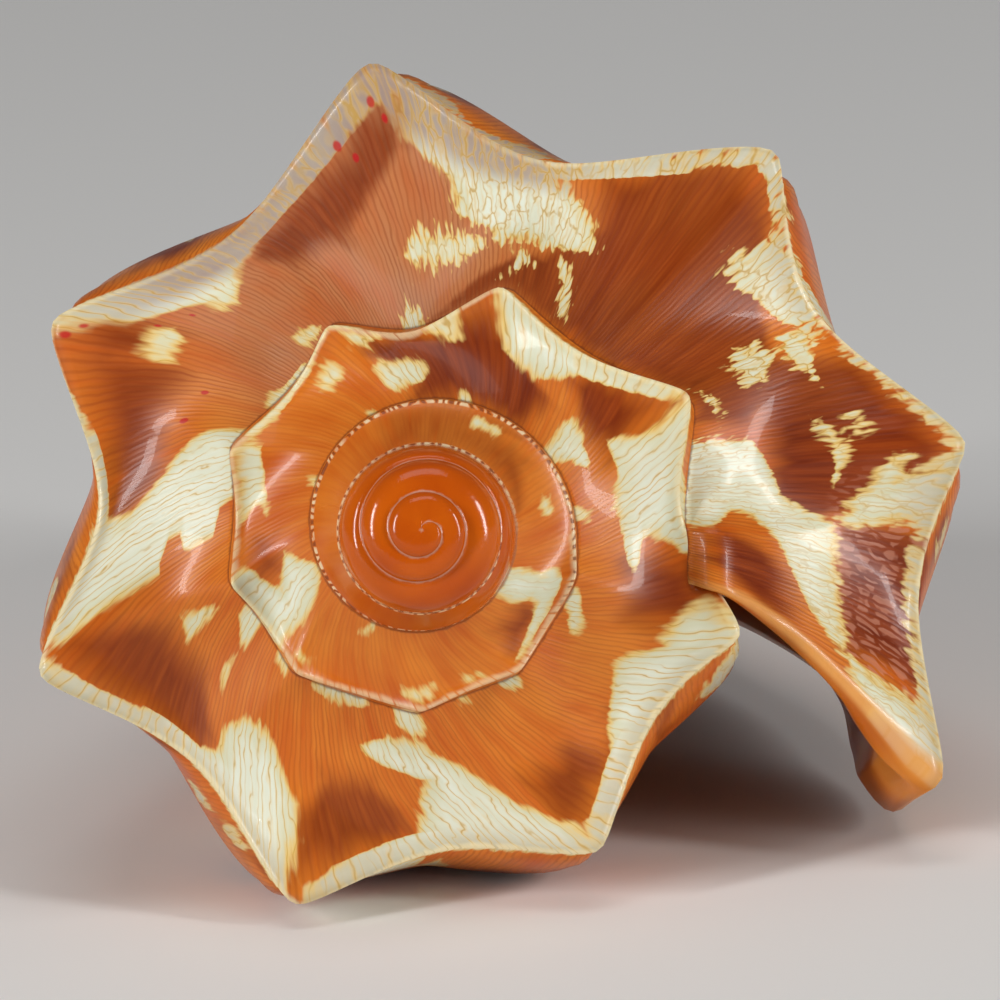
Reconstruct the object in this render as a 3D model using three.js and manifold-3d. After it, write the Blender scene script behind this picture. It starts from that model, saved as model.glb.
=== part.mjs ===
// Shell of a princely volute, a sea snail, grown as one piece.
// Millimetres. The shell lies on its mouth: +Z is up, the spire points along -Y and the lip is at +X.
//
// The shell is worked out in a growth frame and then laid down. There the axis of the coil is Z, with the
// tip of the spire at the origin. A turn angle runs clockwise seen from the spire, in degrees, and is 0
// along +X. A row runs down a section: 0 at the suture, 1 at the shoulder, 2 at the front tip. Below the
// shoulder a share is the row less 1.
import * as THREE from 'three';
import { mergeVertices } from 'three/addons/utils/BufferGeometryUtils.js';
import Module from 'manifold-3d';

// Driving dimensions: turn angles of the tip and the lip, height of the front tip, and wall thickness
const TURN = 360;
const BIRTH = -1900;
const LIP = 385.8;
const INNER = LIP - TURN;
const FRONT_TIP = -112;
const WALL = 1.7;
const LIP_WALL = 2.7;
const LIP_THICKENING = { over: 40, fullRow: 0.4 };
const CAVITY_SPAN = 540;

// How the shell lies, found from its centre of mass and the points that it rests on
const ROLL = 3.2;
const PITCH = 15.15;

// Smooth early turns: turn angle and shoulder radius
const EARLY_TURNS = [
  [-1900, 0], [-1800, 1.45], [-1620, 2.5], [-1440, 3.35], [-1260, 4.65], [-1080, 6.1],
  [-960, 6.5], [-840, 6.4], [-720, 7.25], [-540, 8.6], [-430, 10.4],
];
// Knobs and spines: turn angle, radius at the point, and radius in the hollow after it
const KNOBS = [
  [-384, 11.4, 11.8], [-344, 12.5, 12.3], [-305, 13.3, 13.0], [-270, 14.1, 13.7], [-229, 14.8, 14.2],
  [-196.5, 15.4, 14.5], [-158, 16.1, 14.8], [-115, 17.4, 15.4], [-72, 19.8, 18.4], [-27, 23.2, 20.2],
  [18, 26.2, 23.4], [61, 28.7, 25.1], [108.5, 31.0, 25.6], [159, 32.1, 25.4], [209, 33.3, 27.5],
  [263.5, 36.9, 30.4], [313, 40.6, 35.4], [351, 43.2, 39.4], [385.8, 45.3, 42.5], [422, 48.0, 45.0],
];
// The hollow stays deep as far as the spine beside the mouth: turn angle and radius
const BESIDE_MOUTH = [8, 20.5];
const KNOBS_BEGIN = KNOBS[0][0];
const KNOBS_GROW_OVER = 50;
const SPINE = { sharpness: 1.9, rounding: 0.07, lift: 0.1 };
// Height of the shoulder: turn angle and height
const SHOULDER_HEIGHTS = [
  [-1900, 0], [-1800, -0.27], [-1440, -1.2], [-1080, -3.6], [-900, -5.6], [-720, -7.6], [-540, -9.8],
  [-360, -12], [-180, -14.5], [0, -17.5], [180, -21.5], [386, -27], [430, -28.4],
];
// Rounded keel on the shoulder's edge: height as a share of the radius, and how it fades on both sides
const KEEL = { height: 0.018, from: -344, over: 60, rows: 0.09, share: 0.02 };

// Ramp between the suture and the shoulder: a dome on the smooth turns, and hollow on the later ones
const RAMP = { grownFrom: -760, over: 200, hollow: 1.35, ridge: 2.2, lift: 2 };
// Slant of the growth lines across the ramp, in degrees of turn
const RAMP_SLANT = [
  [-400, 0], [-344, 14], [-24, 16], [61, 18], [110, 22], [160, 24], [210, 20], [264, 11], [313, 3],
  [351, -5], [386, -14],
];
// Beside the mouth the ramp swells over the spine of the turn before
const SWELL = { from: 335, over: 36, dome: 1.3, height: 2, row: 0.16, width: 0.14, clear: 0.07 };
// The next turn is joined on just under the shoulder: share of the radius
const JOIN_DEPTH = 0.085;
const JOIN_CLIMBS_OVER = 16;
// Row that the mouth's end of the suture climbs to
const MOUTH_JOIN = [[-8, 1], [2, 0.98], [11.5, 0.86], [40, 0.78]];

// Flank below the shoulder: share of the way to the front tip, and share of the shoulder radius
const FLANK_START = [
  [0, 1], [0.07, 1.06], [0.2, 0.975], [0.4, 0.75], [0.55, 0.55], [0.7, 0.39], [0.85, 0.28], [1, 0.2],
];
const FLANK_END = [
  [0, 1], [0.07, 0.99], [0.2, 0.975], [0.4, 0.9], [0.55, 0.77], [0.7, 0.61], [0.85, 0.44], [1, 0.35],
];
const ROUNDED_FROM = 0.95;
// Ribs that run down from the spines: how they lean, fade and grow blunt with the share
const RIB = { lean: 6, leanOver: 0.05, sharpPart: 0.22, sharpOver: 0.025, over: 0.31, fall: 1.6 };
const RIB_BLUNTING = { sharpness: 0.5, sharpnessOver: 0.1, rounding: 0.15, roundingOver: 0.15 };
const INSIDE_SPINES = 0.45;
// Slanting folds on the pillar: shares, drift along one turn, and heights that fade outside the mouth
const FOLDS = {
  count: 4, first: 0.47, apart: 0.068, drift: 0.26, height: 1.5, lower: 0.22, width: 0.017, finer: 0.0015,
  from: INNER - 330, over: 60, until: INNER - 2, fadeOver: 22,
};
// Raised band that the front notch leaves round the front end as the shell grows
const BAND = {
  share: 0.8, drift: 0.115, height: 1.1, width: 0.02,
  from: INNER - 10, over: 40, until: LIP - 70, fadeOver: 50,
};

// Edge of the lip: row, and turn angle past the shoulder's end
const LIP_EDGE = [
  [0, -14.3], [0.25, -13.3], [0.65, -5.3], [0.9, -1], [1, 0], [1.08, 3.6], [1.2, 1.5], [1.3, -3],
  [1.5, -8], [1.8, -13], [2, -16],
];
const MOUTH_BEND = 14.3;
const BEND_SPAN = 60;
// Roof and floor of the mouth on the pillar
const ROOF = { below: 0.024, lower: 0.236 };
const FLOOR_ROW = 1.965;
// Rows over which the inner face leaves the roof and meets the floor
const ROOF_BLEND = 0.12;
const FLOOR_BLEND = 0.2;
const ROOF_SHARE_MOST = 0.4;
// The inner face lies below the ramp and inside the flank: how the wall turns over between them, in rows
const INWARD = { least: 0.25, from: 0.55, over: 0.4 };
const DOWNWARD = { until: 0.95, fadeOver: 0.3 };
// The lip's rounded edge fades at both ends, in rows
const RIM_FADE = { suture: 0.5, front: 0.08 };
// Notch at the front end, an ellipse cut right through between the pillar and the lip
const NOTCH = { middle: 7, halfWidth: 3.8, depth: 9.5, reach: 30, sides: 20 };

// Columns are this far apart in turn angle, and each stretch of a column has a number of rows
const COLUMN_STEP = 7.5;
const RAMP_STEPS = 4;
const RIM_STEPS = 2;
const FLANK_STEPS = 10;
const FLANK_SPREAD = 1.2;
const HEM = 0.04;
const KNEE = 0.03;
const WELD = 1e-3;
const RADIANS = Math.PI / 180;

// Smooth curve through the keys: cubic pieces with the mean slope at each key.
function through(keys, x) {
  const last = keys.length - 1;
  const at = Math.min(Math.max(x, keys[0][0]), keys[last][0]);
  let i = 0;
  while (i < last - 1 && at > keys[i + 1][0]) i += 1;
  const slope = (k) => {
    const a = keys[Math.max(k - 1, 0)];
    const b = keys[Math.min(k + 1, last)];
    return (b[1] - a[1]) / (b[0] - a[0]);
  };
  const width = keys[i + 1][0] - keys[i][0];
  const t = (at - keys[i][0]) / width;
  return (2 * t ** 3 - 3 * t ** 2 + 1) * keys[i][1]
    + (t ** 3 - 2 * t ** 2 + t) * width * slope(i)
    + (3 * t ** 2 - 2 * t ** 3) * keys[i + 1][1]
    + (t ** 3 - t ** 2) * width * slope(i + 1);
}

function ease(x) {
  const t = Math.min(Math.max(x, 0), 1);
  return t * t * (3 - 2 * t);
}

function bell(x) {
  return Math.exp(-x * x);
}

const hollowRadii = KNOBS.slice(0, -1).map((knob, i) => [(knob[0] + KNOBS[i + 1][0]) / 2, knob[2]]);
const HOLLOW_CURVE = [...EARLY_TURNS, ...hollowRadii, BESIDE_MOUTH].sort((a, b) => a[0] - b[0]);
const POINT_CURVE = [...EARLY_TURNS, ...KNOBS.map((knob) => [knob[0], knob[1]])];

function hollowRadius(angle) {
  return through(HOLLOW_CURVE, angle);
}

// The first knobs rise out of a smooth shoulder.
function knobGrowth(angle) {
  return ease((angle - KNOBS_BEGIN) / KNOBS_GROW_OVER);
}

// How far a spine stands out past the hollows beside it.
function spineReach(angle) {
  return Math.max(through(POINT_CURVE, angle) - hollowRadius(angle), 0) * knobGrowth(angle);
}

// 1 on a spine's point and 0 midway between two, with concave sides and a slightly rounded point.
function spineShape(angle, sharpness = SPINE.sharpness, rounding = SPINE.rounding) {
  if (angle < KNOBS_BEGIN) return 0;
  let i = 0;
  while (i < KNOBS.length - 2 && angle > KNOBS[i + 1][0]) i += 1;
  const share = Math.min(Math.max((angle - KNOBS[i][0]) / (KNOBS[i + 1][0] - KNOBS[i][0]), 0), 1);
  const away = 1 - Math.abs(2 * share - 1);
  const full = Math.hypot(1, rounding) - rounding;
  return (1 - (Math.hypot(away, rounding) - rounding) / full) ** sharpness;
}

function shoulderHeight(angle) {
  return through(SHOULDER_HEIGHTS, angle);
}

// How far the shoulder rises towards the spire at a spine.
function spineLift(angle) {
  return SPINE.lift * hollowRadius(angle) * knobGrowth(angle);
}

// How far the shoulder's edge stands up as a rounded keel.
function keel(angle) {
  return KEEL.height * hollowRadius(angle) * ease((angle - KEEL.from) / KEEL.over);
}

// Row at which the next turn is joined on: just under the shoulder, and on the ramp near the mouth.
function joinRow(angle) {
  const under = JOIN_DEPTH * hollowRadius(angle) / (shoulderHeight(angle) - FRONT_TIP);
  const climb = ease((angle - MOUTH_JOIN[0][0]) / JOIN_CLIMBS_OVER);
  return through(MOUTH_JOIN, angle) + under * (1 - climb);
}

// Folds on the pillar: bells across the share that drift forward with the turn.
function pillarFolds(angle, share) {
  const grown = ease((angle - FOLDS.from) / FOLDS.over);
  const fading = 1 - ease((angle - FOLDS.until) / FOLDS.fadeOver);
  let height = 0;
  for (let fold = 0; fold < FOLDS.count; fold += 1) {
    const middle = FOLDS.first + FOLDS.apart * fold + FOLDS.drift * (angle - INNER) / TURN;
    const width = FOLDS.width - FOLDS.finer * fold;
    height += (FOLDS.height - FOLDS.lower * fold) * bell((share - middle) / width);
  }
  return height * grown * fading;
}

// Band round the front end: a bell across the share that drifts forward with the turn.
function notchBand(angle, share) {
  const middle = BAND.share + BAND.drift * (angle - INNER) / TURN;
  const grown = ease((angle - BAND.from) / BAND.over);
  const fading = 1 - ease((angle - BAND.until) / BAND.fadeOver);
  return BAND.height * grown * fading * bell((share - middle) / BAND.width);
}

// Rib below a spine, for full spines: it leans, fades and grows blunt towards the front.
function rib(angle, share) {
  const leaning = angle - RIB.lean * (1 - Math.exp(-share / RIB.leanOver));
  const sharp = RIB.sharpPart * Math.exp(-share / RIB.sharpOver);
  const broad = (1 - RIB.sharpPart) * Math.exp(-((share / RIB.over) ** RIB.fall));
  const sharpness = SPINE.sharpness - RIB_BLUNTING.sharpness * ease(share / RIB_BLUNTING.sharpnessOver);
  const rounding = SPINE.rounding + RIB_BLUNTING.rounding * ease(share / RIB_BLUNTING.roundingOver);
  return spineReach(leaning) * spineShape(leaning, sharpness, rounding) * (sharp + broad);
}

// Flank below the shoulder, for a share of the way to the front tip: radius and height.
function flank(angle, share, spines) {
  const grown = Math.min(Math.max((angle - INNER) / TURN, 0), 1);
  const ratio = through(FLANK_START, share) * (1 - grown) + through(FLANK_END, share) * grown;
  const past = Math.max(share - ROUNDED_FROM, 0) / (1 - ROUNDED_FROM);
  const closing = Math.sqrt(Math.max(1 - past ** 2, 0));
  const body = hollowRadius(angle) * ratio + pillarFolds(angle, share) + notchBand(angle, share);
  const lift = spineLift(angle) * spineShape(angle) * Math.exp(-share / RIB.leanOver);
  const top = shoulderHeight(angle) + lift + keel(angle) * Math.exp(-share / KEEL.share);
  return {
    radius: (body + spines * rib(angle, share)) * closing,
    height: top + (FRONT_TIP - top) * share,
  };
}

// Where the turn at this angle sits on the turn before it.
function suture(angle) {
  const before = angle - TURN;
  if (before <= BIRTH) return { radius: 0, height: 0 };
  return section(before, joinRow(before), 1);
}

// Ramp from the suture out to the shoulder. The spines run in along the slanting growth lines.
function ramp(angle, row, spines) {
  const start = suture(angle);
  const slanted = angle - through(RAMP_SLANT, angle) * (1 - row);
  const spine = spineShape(slanted);
  const atMouth = ease((angle - SWELL.from) / SWELL.over);
  const later = ease((angle - RAMP.grownFrom) / RAMP.over);
  const domed = 1 - Math.sqrt(1 - row ** 2);
  const hollowed = (1 - (1 - row) ** RAMP.hollow) * (1 - atMouth) + row ** SWELL.dome * atMouth;
  const fall = domed * (1 - later) + hollowed * later;
  const swell = SWELL.height * atMouth * bell((row - SWELL.row) / SWELL.width) * ease(row / SWELL.clear);
  const edge = keel(angle) * bell((1 - row) / KEEL.rows);
  const across = start.radius + (hollowRadius(angle) - start.radius) * row;
  const down = start.height + (shoulderHeight(angle) - start.height) * fall;
  return {
    radius: across + spines * spineReach(angle) * spine * row ** RAMP.ridge,
    height: down + spineLift(angle) * spine * row ** RAMP.lift + swell + edge,
  };
}

function section(angle, row, spines) {
  if (row < 1) return ramp(angle, row, spines);
  return flank(angle, Math.min(row - 1, 1), spines);
}

function place(angle, radius, height) {
  return new THREE.Vector3(radius * Math.cos(angle * RADIANS), -radius * Math.sin(angle * RADIANS), height);
}

// Columns of the grid are bent back round the mouth, above it and one turn earlier below it.
function mouthBend(column) {
  if (column <= INNER) return ease((column - INNER + BEND_SPAN) / BEND_SPAN);
  return 1 - ease((column - INNER) / BEND_SPAN);
}

const nearestColumns = KNOBS.map((knob) => LIP + Math.round((knob[0] - LIP) / COLUMN_STEP) * COLUMN_STEP);

// Shift that carries the nearest column onto each spine's point.
function spineShift(column) {
  const last = KNOBS.length - 1;
  if (column <= nearestColumns[0]) return KNOBS[0][0] - nearestColumns[0];
  if (column >= nearestColumns[last]) return KNOBS[last][0] - nearestColumns[last];
  let i = 0;
  while (column > nearestColumns[i + 1]) i += 1;
  const share = (column - nearestColumns[i]) / (nearestColumns[i + 1] - nearestColumns[i]);
  const before = KNOBS[i][0] - nearestColumns[i];
  return before + (KNOBS[i + 1][0] - nearestColumns[i + 1] - before) * share;
}

// Row of the join on a column. It stays the same past the mouth, where no turn joins on.
function joinOfColumn(column) {
  const covered = Math.min(column, INNER);
  return joinRow(covered - MOUTH_BEND * mouthBend(covered) + spineShift(covered));
}

// Turn angle of a column at a row.
function columnAngle(column, row) {
  const join = joinOfColumn(column);
  const bent = row < join ? ease(row / join) : 1 - ease(row - join);
  const shifted = ease(row / Math.min(1, join));
  const toLip = ease((column - LIP + BEND_SPAN) / BEND_SPAN);
  return column - MOUTH_BEND * mouthBend(column) * bent + through(LIP_EDGE, row) * toLip
    + spineShift(column - TURN) * (1 - shifted) + spineShift(column) * shifted;
}

function skinPoint(column, row) {
  const angle = columnAngle(column, row);
  const { radius, height } = section(angle, row, 1);
  return place(angle, radius, height);
}

// Rows spaced evenly, or closer at the start for a power over 1.
function spread(from, to, steps, power = 1) {
  return Array.from({ length: steps }, (_, i) => from + (to - from) * ((i + 1) / steps) ** power);
}

// Rows spaced as the cosine of an even turn.
function roundSpread(from, to) {
  return Array.from({ length: RIM_STEPS }, (_, i) => {
    return from + (to - from) * (1 - Math.cos(Math.PI * (i + 1) / RIM_STEPS)) / 2;
  });
}

// Rows of a column, in stretches that end on the joins between the surfaces.
function columnRows(column) {
  const join = joinOfColumn(column);
  const crest = join > 1 ? 1 : join - HEM;
  const roof = join + ROOF.below + ROOF.lower * (column > INNER ? 1 : mouthBend(column));
  const upperFlank = Math.max(1, roof + KNEE);
  return {
    outside: [0, ...spread(0, crest, RAMP_STEPS), join],
    buried: roundSpread(join, roof),
    mouth: [upperFlank, ...spread(upperFlank, FLOOR_ROW, FLANK_STEPS, FLANK_SPREAD)],
    front: roundSpread(FLOOR_ROW, 2),
  };
}

function spireColumn(column) {
  return columnRows(column).outside.map((row) => skinPoint(column, row));
}

function bodyColumn(column) {
  const rows = columnRows(column);
  return [...rows.outside, ...rows.buried, ...rows.mouth, ...rows.front].map((row) => skinPoint(column, row));
}

function pillarColumn(column) {
  const rows = columnRows(column);
  return [rows.buried.at(-1), ...rows.mouth].map((row) => skinPoint(column, row));
}

// How far the inner face lies inside the outer one, towards the axis and towards the front.
function wallOffsets(column, inner) {
  const thickening = ease((column - LIP + LIP_THICKENING.over) / LIP_THICKENING.over);
  const wall = WALL + (LIP_WALL - WALL) * thickening * ease(inner / LIP_THICKENING.fullRow);
  return {
    inward: wall * (INWARD.least + (1 - INWARD.least) * ease((inner - INWARD.from) / INWARD.over)),
    downward: wall * (1 - ease((inner - DOWNWARD.until) / DOWNWARD.fadeOver)),
  };
}

// Inner face of the last turn's wall, from the roof of the mouth to its floor.
function insideColumn(column) {
  const rows = columnRows(column);
  const pillar = pillarColumn(column - TURN);
  const roof = pillar[0];
  const floor = pillar.at(-1);
  const start = suture(columnAngle(column, 0)).radius;
  const pastSuture = (Math.hypot(roof.x, roof.y) - start) / (hollowRadius(column) - start);
  const roofShare = Math.min(Math.max(pastSuture, 0), ROOF_SHARE_MOST);
  return [...rows.outside, ...rows.buried, ...rows.mouth, ...rows.front].map((row) => {
    const inner = row < 1 ? roofShare + (1 - roofShare) * row : 1 + (row - 1) * (FLOOR_ROW - 1);
    const angle = columnAngle(column, inner);
    const { radius, height } = section(angle, inner, INSIDE_SPINES);
    const { inward, downward } = wallOffsets(column, inner);
    const point = place(angle, radius - inward, height - downward);
    point.lerp(roof, 1 - ease(row / ROOF_BLEND));
    return point.lerp(floor, ease((row - 2 + FLOOR_BLEND) / FLOOR_BLEND));
  });
}

// Rounded edge of the lip, between its outer and inner faces.
function rimColumn(outer, inner, step) {
  const turn = Math.PI * step / RIM_STEPS;
  const ends = columnRows(INNER);
  const roofEnd = skinPoint(INNER, ends.buried[step - 1]);
  const floorEnd = skinPoint(INNER, ends.front[RIM_STEPS - 1 - step]);
  const lipRows = columnRows(LIP);
  const rows = [...lipRows.outside, ...lipRows.buried, ...lipRows.mouth, ...lipRows.front];
  const last = outer.length - 1;
  return outer.map((point, i) => {
    if (i === 0) return roofEnd;
    if (i === last) return floorEnd;
    const middle = point.clone().add(inner[i]).multiplyScalar(0.5);
    const half = point.clone().sub(inner[i]).multiplyScalar(0.5);
    const forward = new THREE.Vector3(middle.y, -middle.x, 0).normalize().multiplyScalar(half.length());
    const fade = ease(rows[i] / RIM_FADE.suture) * ease((2 - rows[i]) / RIM_FADE.front);
    return middle.addScaledVector(half, Math.cos(turn)).addScaledVector(forward, Math.sin(turn) * fade);
  });
}

// Two neighbouring columns joined by triangles, also where they have different numbers of points.
function joinColumns(triangles, left, right) {
  let i = 0;
  let k = 0;
  while (i < left.length - 1 || k < right.length - 1) {
    const leftShare = (i + 1) / (left.length - 1);
    const rightShare = (k + 1) / (right.length - 1);
    if (leftShare <= rightShare) {
      triangles.push(left[i], left[i + 1], right[k]);
      i += 1;
    } else {
      triangles.push(left[i], right[k + 1], right[k]);
      k += 1;
    }
  }
}

function joinAll(triangles, columns) {
  for (let i = 0; i < columns.length - 1; i += 1) joinColumns(triangles, columns[i], columns[i + 1]);
}

function columnsFrom(first, last, makeColumn) {
  const count = Math.round(Math.abs(last - first) / COLUMN_STEP);
  return Array.from({ length: count + 1 }, (_, i) => makeColumn(first + (last - first) * i / count));
}

function shellGeometry() {
  const cavityEnd = LIP - Math.round(CAVITY_SPAN / COLUMN_STEP) * COLUMN_STEP;
  const turned = INNER - BIRTH + spineShift(BIRTH);
  const spireStart = INNER - Math.floor(turned / COLUMN_STEP) * COLUMN_STEP;
  const apex = Array.from({ length: RAMP_STEPS + 2 }, () => new THREE.Vector3());
  const body = columnsFrom(INNER, LIP, bodyColumn);
  const inside = columnsFrom(LIP, cavityEnd, insideColumn);
  const rim = Array.from({ length: RIM_STEPS - 1 }, (_, i) => rimColumn(body.at(-1), inside[0], i + 1));
  const pillar = columnsFrom(cavityEnd - TURN, INNER, pillarColumn);
  const triangles = [];
  joinAll(triangles, [apex, ...columnsFrom(spireStart, INNER, spireColumn)]);
  joinAll(triangles, [...body, ...rim, ...inside, ...pillar]);
  return closedGeometry(triangles.reverse());
}

// Points that meet become one vertex, and triangles that shrink to a line there are left out.
function closedGeometry(points) {
  const loose = new THREE.BufferGeometry();
  loose.setAttribute('position', new THREE.Float32BufferAttribute(points.flatMap((p) => [p.x, p.y, p.z]), 3));
  const merged = mergeVertices(loose, WELD);
  const index = Array.from(merged.getIndex().array);
  const kept = [];
  for (let i = 0; i < index.length; i += 3) {
    const [a, b, c] = index.slice(i, i + 3);
    if (a !== b && b !== c && c !== a) kept.push(a, b, c);
  }
  merged.setIndex(kept);
  return merged;
}

// Rod with an elliptic section that cuts the notch.
function notchGeometry() {
  const outline = new THREE.Shape();
  outline.absellipse(NOTCH.middle, FRONT_TIP, NOTCH.halfWidth, NOTCH.depth, 0, TURN * RADIANS);
  const geometry = new THREE.ExtrudeGeometry(outline, {
    depth: 2 * NOTCH.reach,
    bevelEnabled: false,
    curveSegments: NOTCH.sides,
  });
  geometry.translate(0, 0, -NOTCH.reach);
  geometry.rotateX(Math.PI / 2);
  geometry.deleteAttribute('normal');
  geometry.deleteAttribute('uv');
  return mergeVertices(geometry, WELD);
}

const wasm = await Module();
wasm.setup();

function solidOf(geometry) {
  const vertProperties = new Float32Array(geometry.getAttribute('position').array);
  const triVerts = new Uint32Array(geometry.getIndex().array);
  return new wasm.Manifold(new wasm.Mesh({ numProp: 3, vertProperties, triVerts }));
}

function geometryOf(solid) {
  const mesh = solid.getMesh();
  const geometry = new THREE.BufferGeometry();
  geometry.setAttribute('position', new THREE.BufferAttribute(new Float32Array(mesh.vertProperties), 3));
  geometry.setIndex(Array.from(mesh.triVerts));
  return geometry;
}

// Turn the growth frame so that the shell lies on its mouth, centred over the origin.
function layDown(geometry) {
  geometry.rotateX(Math.PI / 2);
  geometry.rotateY(ROLL * RADIANS);
  geometry.rotateX(-PITCH * RADIANS);
  geometry.computeBoundingBox();
  const { min, max } = geometry.boundingBox;
  geometry.translate(-(min.x + max.x) / 2, -(min.y + max.y) / 2, -min.z);
  geometry.computeVertexNormals();
  return geometry;
}

const shellMaterial = new THREE.MeshStandardMaterial({ color: 0xc0702a, roughness: 0.25, metalness: 0 });
const shell = new THREE.Mesh(
  layDown(geometryOf(solidOf(shellGeometry()).subtract(solidOf(notchGeometry())))),
  shellMaterial,
);
shell.name = 'shell';

const volute = new THREE.Group();
volute.add(shell);

export default volute;
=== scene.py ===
import math
from collections import namedtuple

import bmesh
import bpy
import numpy as np
from mathutils import Matrix, Vector


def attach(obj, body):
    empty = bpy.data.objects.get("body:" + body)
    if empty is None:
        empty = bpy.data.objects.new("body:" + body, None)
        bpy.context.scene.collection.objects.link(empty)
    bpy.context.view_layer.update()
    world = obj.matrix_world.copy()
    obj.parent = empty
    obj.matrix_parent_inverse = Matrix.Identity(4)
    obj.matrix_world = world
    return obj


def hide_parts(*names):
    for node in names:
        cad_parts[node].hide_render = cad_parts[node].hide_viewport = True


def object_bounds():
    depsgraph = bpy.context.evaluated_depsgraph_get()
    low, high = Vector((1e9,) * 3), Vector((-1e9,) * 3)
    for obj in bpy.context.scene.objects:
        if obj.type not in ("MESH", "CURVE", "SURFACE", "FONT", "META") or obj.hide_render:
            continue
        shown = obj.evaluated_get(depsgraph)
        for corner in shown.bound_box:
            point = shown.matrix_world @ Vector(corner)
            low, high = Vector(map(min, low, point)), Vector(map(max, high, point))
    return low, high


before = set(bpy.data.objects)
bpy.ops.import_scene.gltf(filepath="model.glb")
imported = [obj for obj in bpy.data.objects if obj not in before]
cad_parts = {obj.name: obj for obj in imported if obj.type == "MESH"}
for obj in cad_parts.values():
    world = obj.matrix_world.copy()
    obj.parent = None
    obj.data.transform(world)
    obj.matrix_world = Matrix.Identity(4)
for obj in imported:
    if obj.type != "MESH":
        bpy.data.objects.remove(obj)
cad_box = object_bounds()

# Driving dimensions of the shell in millimetres, in its growth frame: the axis of the coil is Z and the
# tip of the spire is the origin. Turn angles are degrees, clockwise seen from the spire, and 0 is along X.
# A span is a pair of values, over which something rises from 0 to 1.
TURN = 360.0
BIRTH = -1900.0
LIP = 385.8
INNER = LIP - TURN
FRONT_TIP = -112.0
WALL = 1.7
LIP_WALL = 2.7
CAVITY_SPAN = 540.0
MILLIMETRE = 0.001

# How the shell lies on its mouth
ROLL = 3.2
PITCH = 15.15

# Smooth early turns: turn angle and shoulder radius
EARLY_TURNS = [
    (-1900, 0), (-1800, 1.45), (-1620, 2.5), (-1440, 3.35), (-1260, 4.65), (-1080, 6.1),
    (-960, 6.5), (-840, 6.4), (-720, 7.25), (-540, 8.6), (-430, 10.4),
]
# Knobs and spines: turn angle, radius at the point, and radius in the hollow after it
KNOBS = [
    (-384, 11.4, 11.8), (-344, 12.5, 12.3), (-305, 13.3, 13.0), (-270, 14.1, 13.7), (-229, 14.8, 14.2),
    (-196.5, 15.4, 14.5), (-158, 16.1, 14.8), (-115, 17.4, 15.4), (-72, 19.8, 18.4), (-27, 23.2, 20.2),
    (18, 26.2, 23.4), (61, 28.7, 25.1), (108.5, 31.0, 25.6), (159, 32.1, 25.4), (209, 33.3, 27.5),
    (263.5, 36.9, 30.4), (313, 40.6, 35.4), (351, 43.2, 39.4), (385.8, 45.3, 42.5), (422, 48.0, 45.0),
]
# Height of the shoulder: turn angle and height
SHOULDER_HEIGHTS = [
    (-1900, 0), (-1800, -0.27), (-1440, -1.2), (-1080, -3.6), (-900, -5.6), (-720, -7.6), (-540, -9.8),
    (-360, -12), (-180, -14.5), (0, -17.5), (180, -21.5), (386, -27), (430, -28.4),
]
# Flank below the shoulder: share of the way to the front tip, and share of the shoulder radius
FLANK_START = [
    (0, 1), (0.07, 1.06), (0.2, 0.975), (0.4, 0.75), (0.55, 0.55), (0.7, 0.39), (0.85, 0.28), (1, 0.2),
]
FLANK_END = [
    (0, 1), (0.07, 0.99), (0.2, 0.975), (0.4, 0.9), (0.55, 0.77), (0.7, 0.61), (0.85, 0.44), (1, 0.35),
]
# Edge of the lip: row, and turn angle past the shoulder's end
LIP_EDGE = [
    (0, -14.3), (0.25, -13.3), (0.65, -5.3), (0.9, -1), (1, 0), (1.08, 3.6), (1.2, 1.5), (1.3, -3),
    (1.5, -8), (1.8, -13), (2, -16),
]
# The hollow stays deep as far as the spine beside the mouth: turn angle and radius
BESIDE_MOUTH = (8, 20.5)
# Row of the turn before that the mouth's end of the suture climbs to
MOUTH_JOIN = [(-8, 1), (2, 0.98), (11.5, 0.86), (40, 0.78)]
# Slant of the growth lines across the ramp, in degrees of turn
RAMP_SLANT = [
    (-400, 0), (-344, 14), (-24, 16), (61, 18), (110, 22), (160, 24), (210, 20), (264, 11), (313, 3),
    (351, -5), (386, -14),
]

# Spines: where the knobs begin and grow, how sharp and how rounded a spine is, and its lift as a share of
# the shoulder's radius
KNOBS_BEGIN = -384.0
KNOBS_GROW = (-384.0, -334.0)
SPINE_SHARPNESS = 1.9
SPINE_ROUNDING = 0.07
SPINE_LIFT = 0.1
# Keel along the shoulder's edge: height as a share of the radius, its fade down the flank and up the ramp
KEEL_HEIGHT = 0.018
KEEL_GROWS = (-344.0, -284.0)
KEEL_ON_FLANK = 0.02
KEEL_ON_RAMP = 0.09
# How far under the shoulder the next turn is joined on, as a share of the radius, and where that ends
JOIN_DROP = 0.085
JOIN_CLIMBS = (-8.0, 8.0)

# Folds on the pillar, as shares of the flank's length and millimetres of height. Each is lower and narrower
# than the one before, and they drift forward with the turn.
FOLDS = 4
FIRST_FOLD = 0.47
FOLD_GAP = 0.068
FOLD_DRIFT = 0.26
FOLD_HEIGHT = 1.5
FOLD_LOWERS = 0.22
FOLD_WIDTH = 0.017
FOLD_NARROWS = 0.0015
# Turn angles past the mouth's inner edge over which the folds come and go
FOLDS_RISE = (-330.0, -270.0)
FOLDS_END = (-2.0, 20.0)
# Raised band round the front end, with its spans past the mouth's inner edge and past the lip
BAND_SHARE = 0.8
BAND_DRIFT = 0.115
BAND_HEIGHT = 1.1
BAND_WIDTH = 0.02
BAND_RISES = (-10.0, 30.0)
BAND_ENDS = (-70.0, -20.0)

# Growth lines below the shoulder lean back at once by some degrees, and then evenly
LEAN = 6.0
LEAN_WITHIN = 0.05
LEAN_DOWN_FLANK = 14.0
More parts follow.
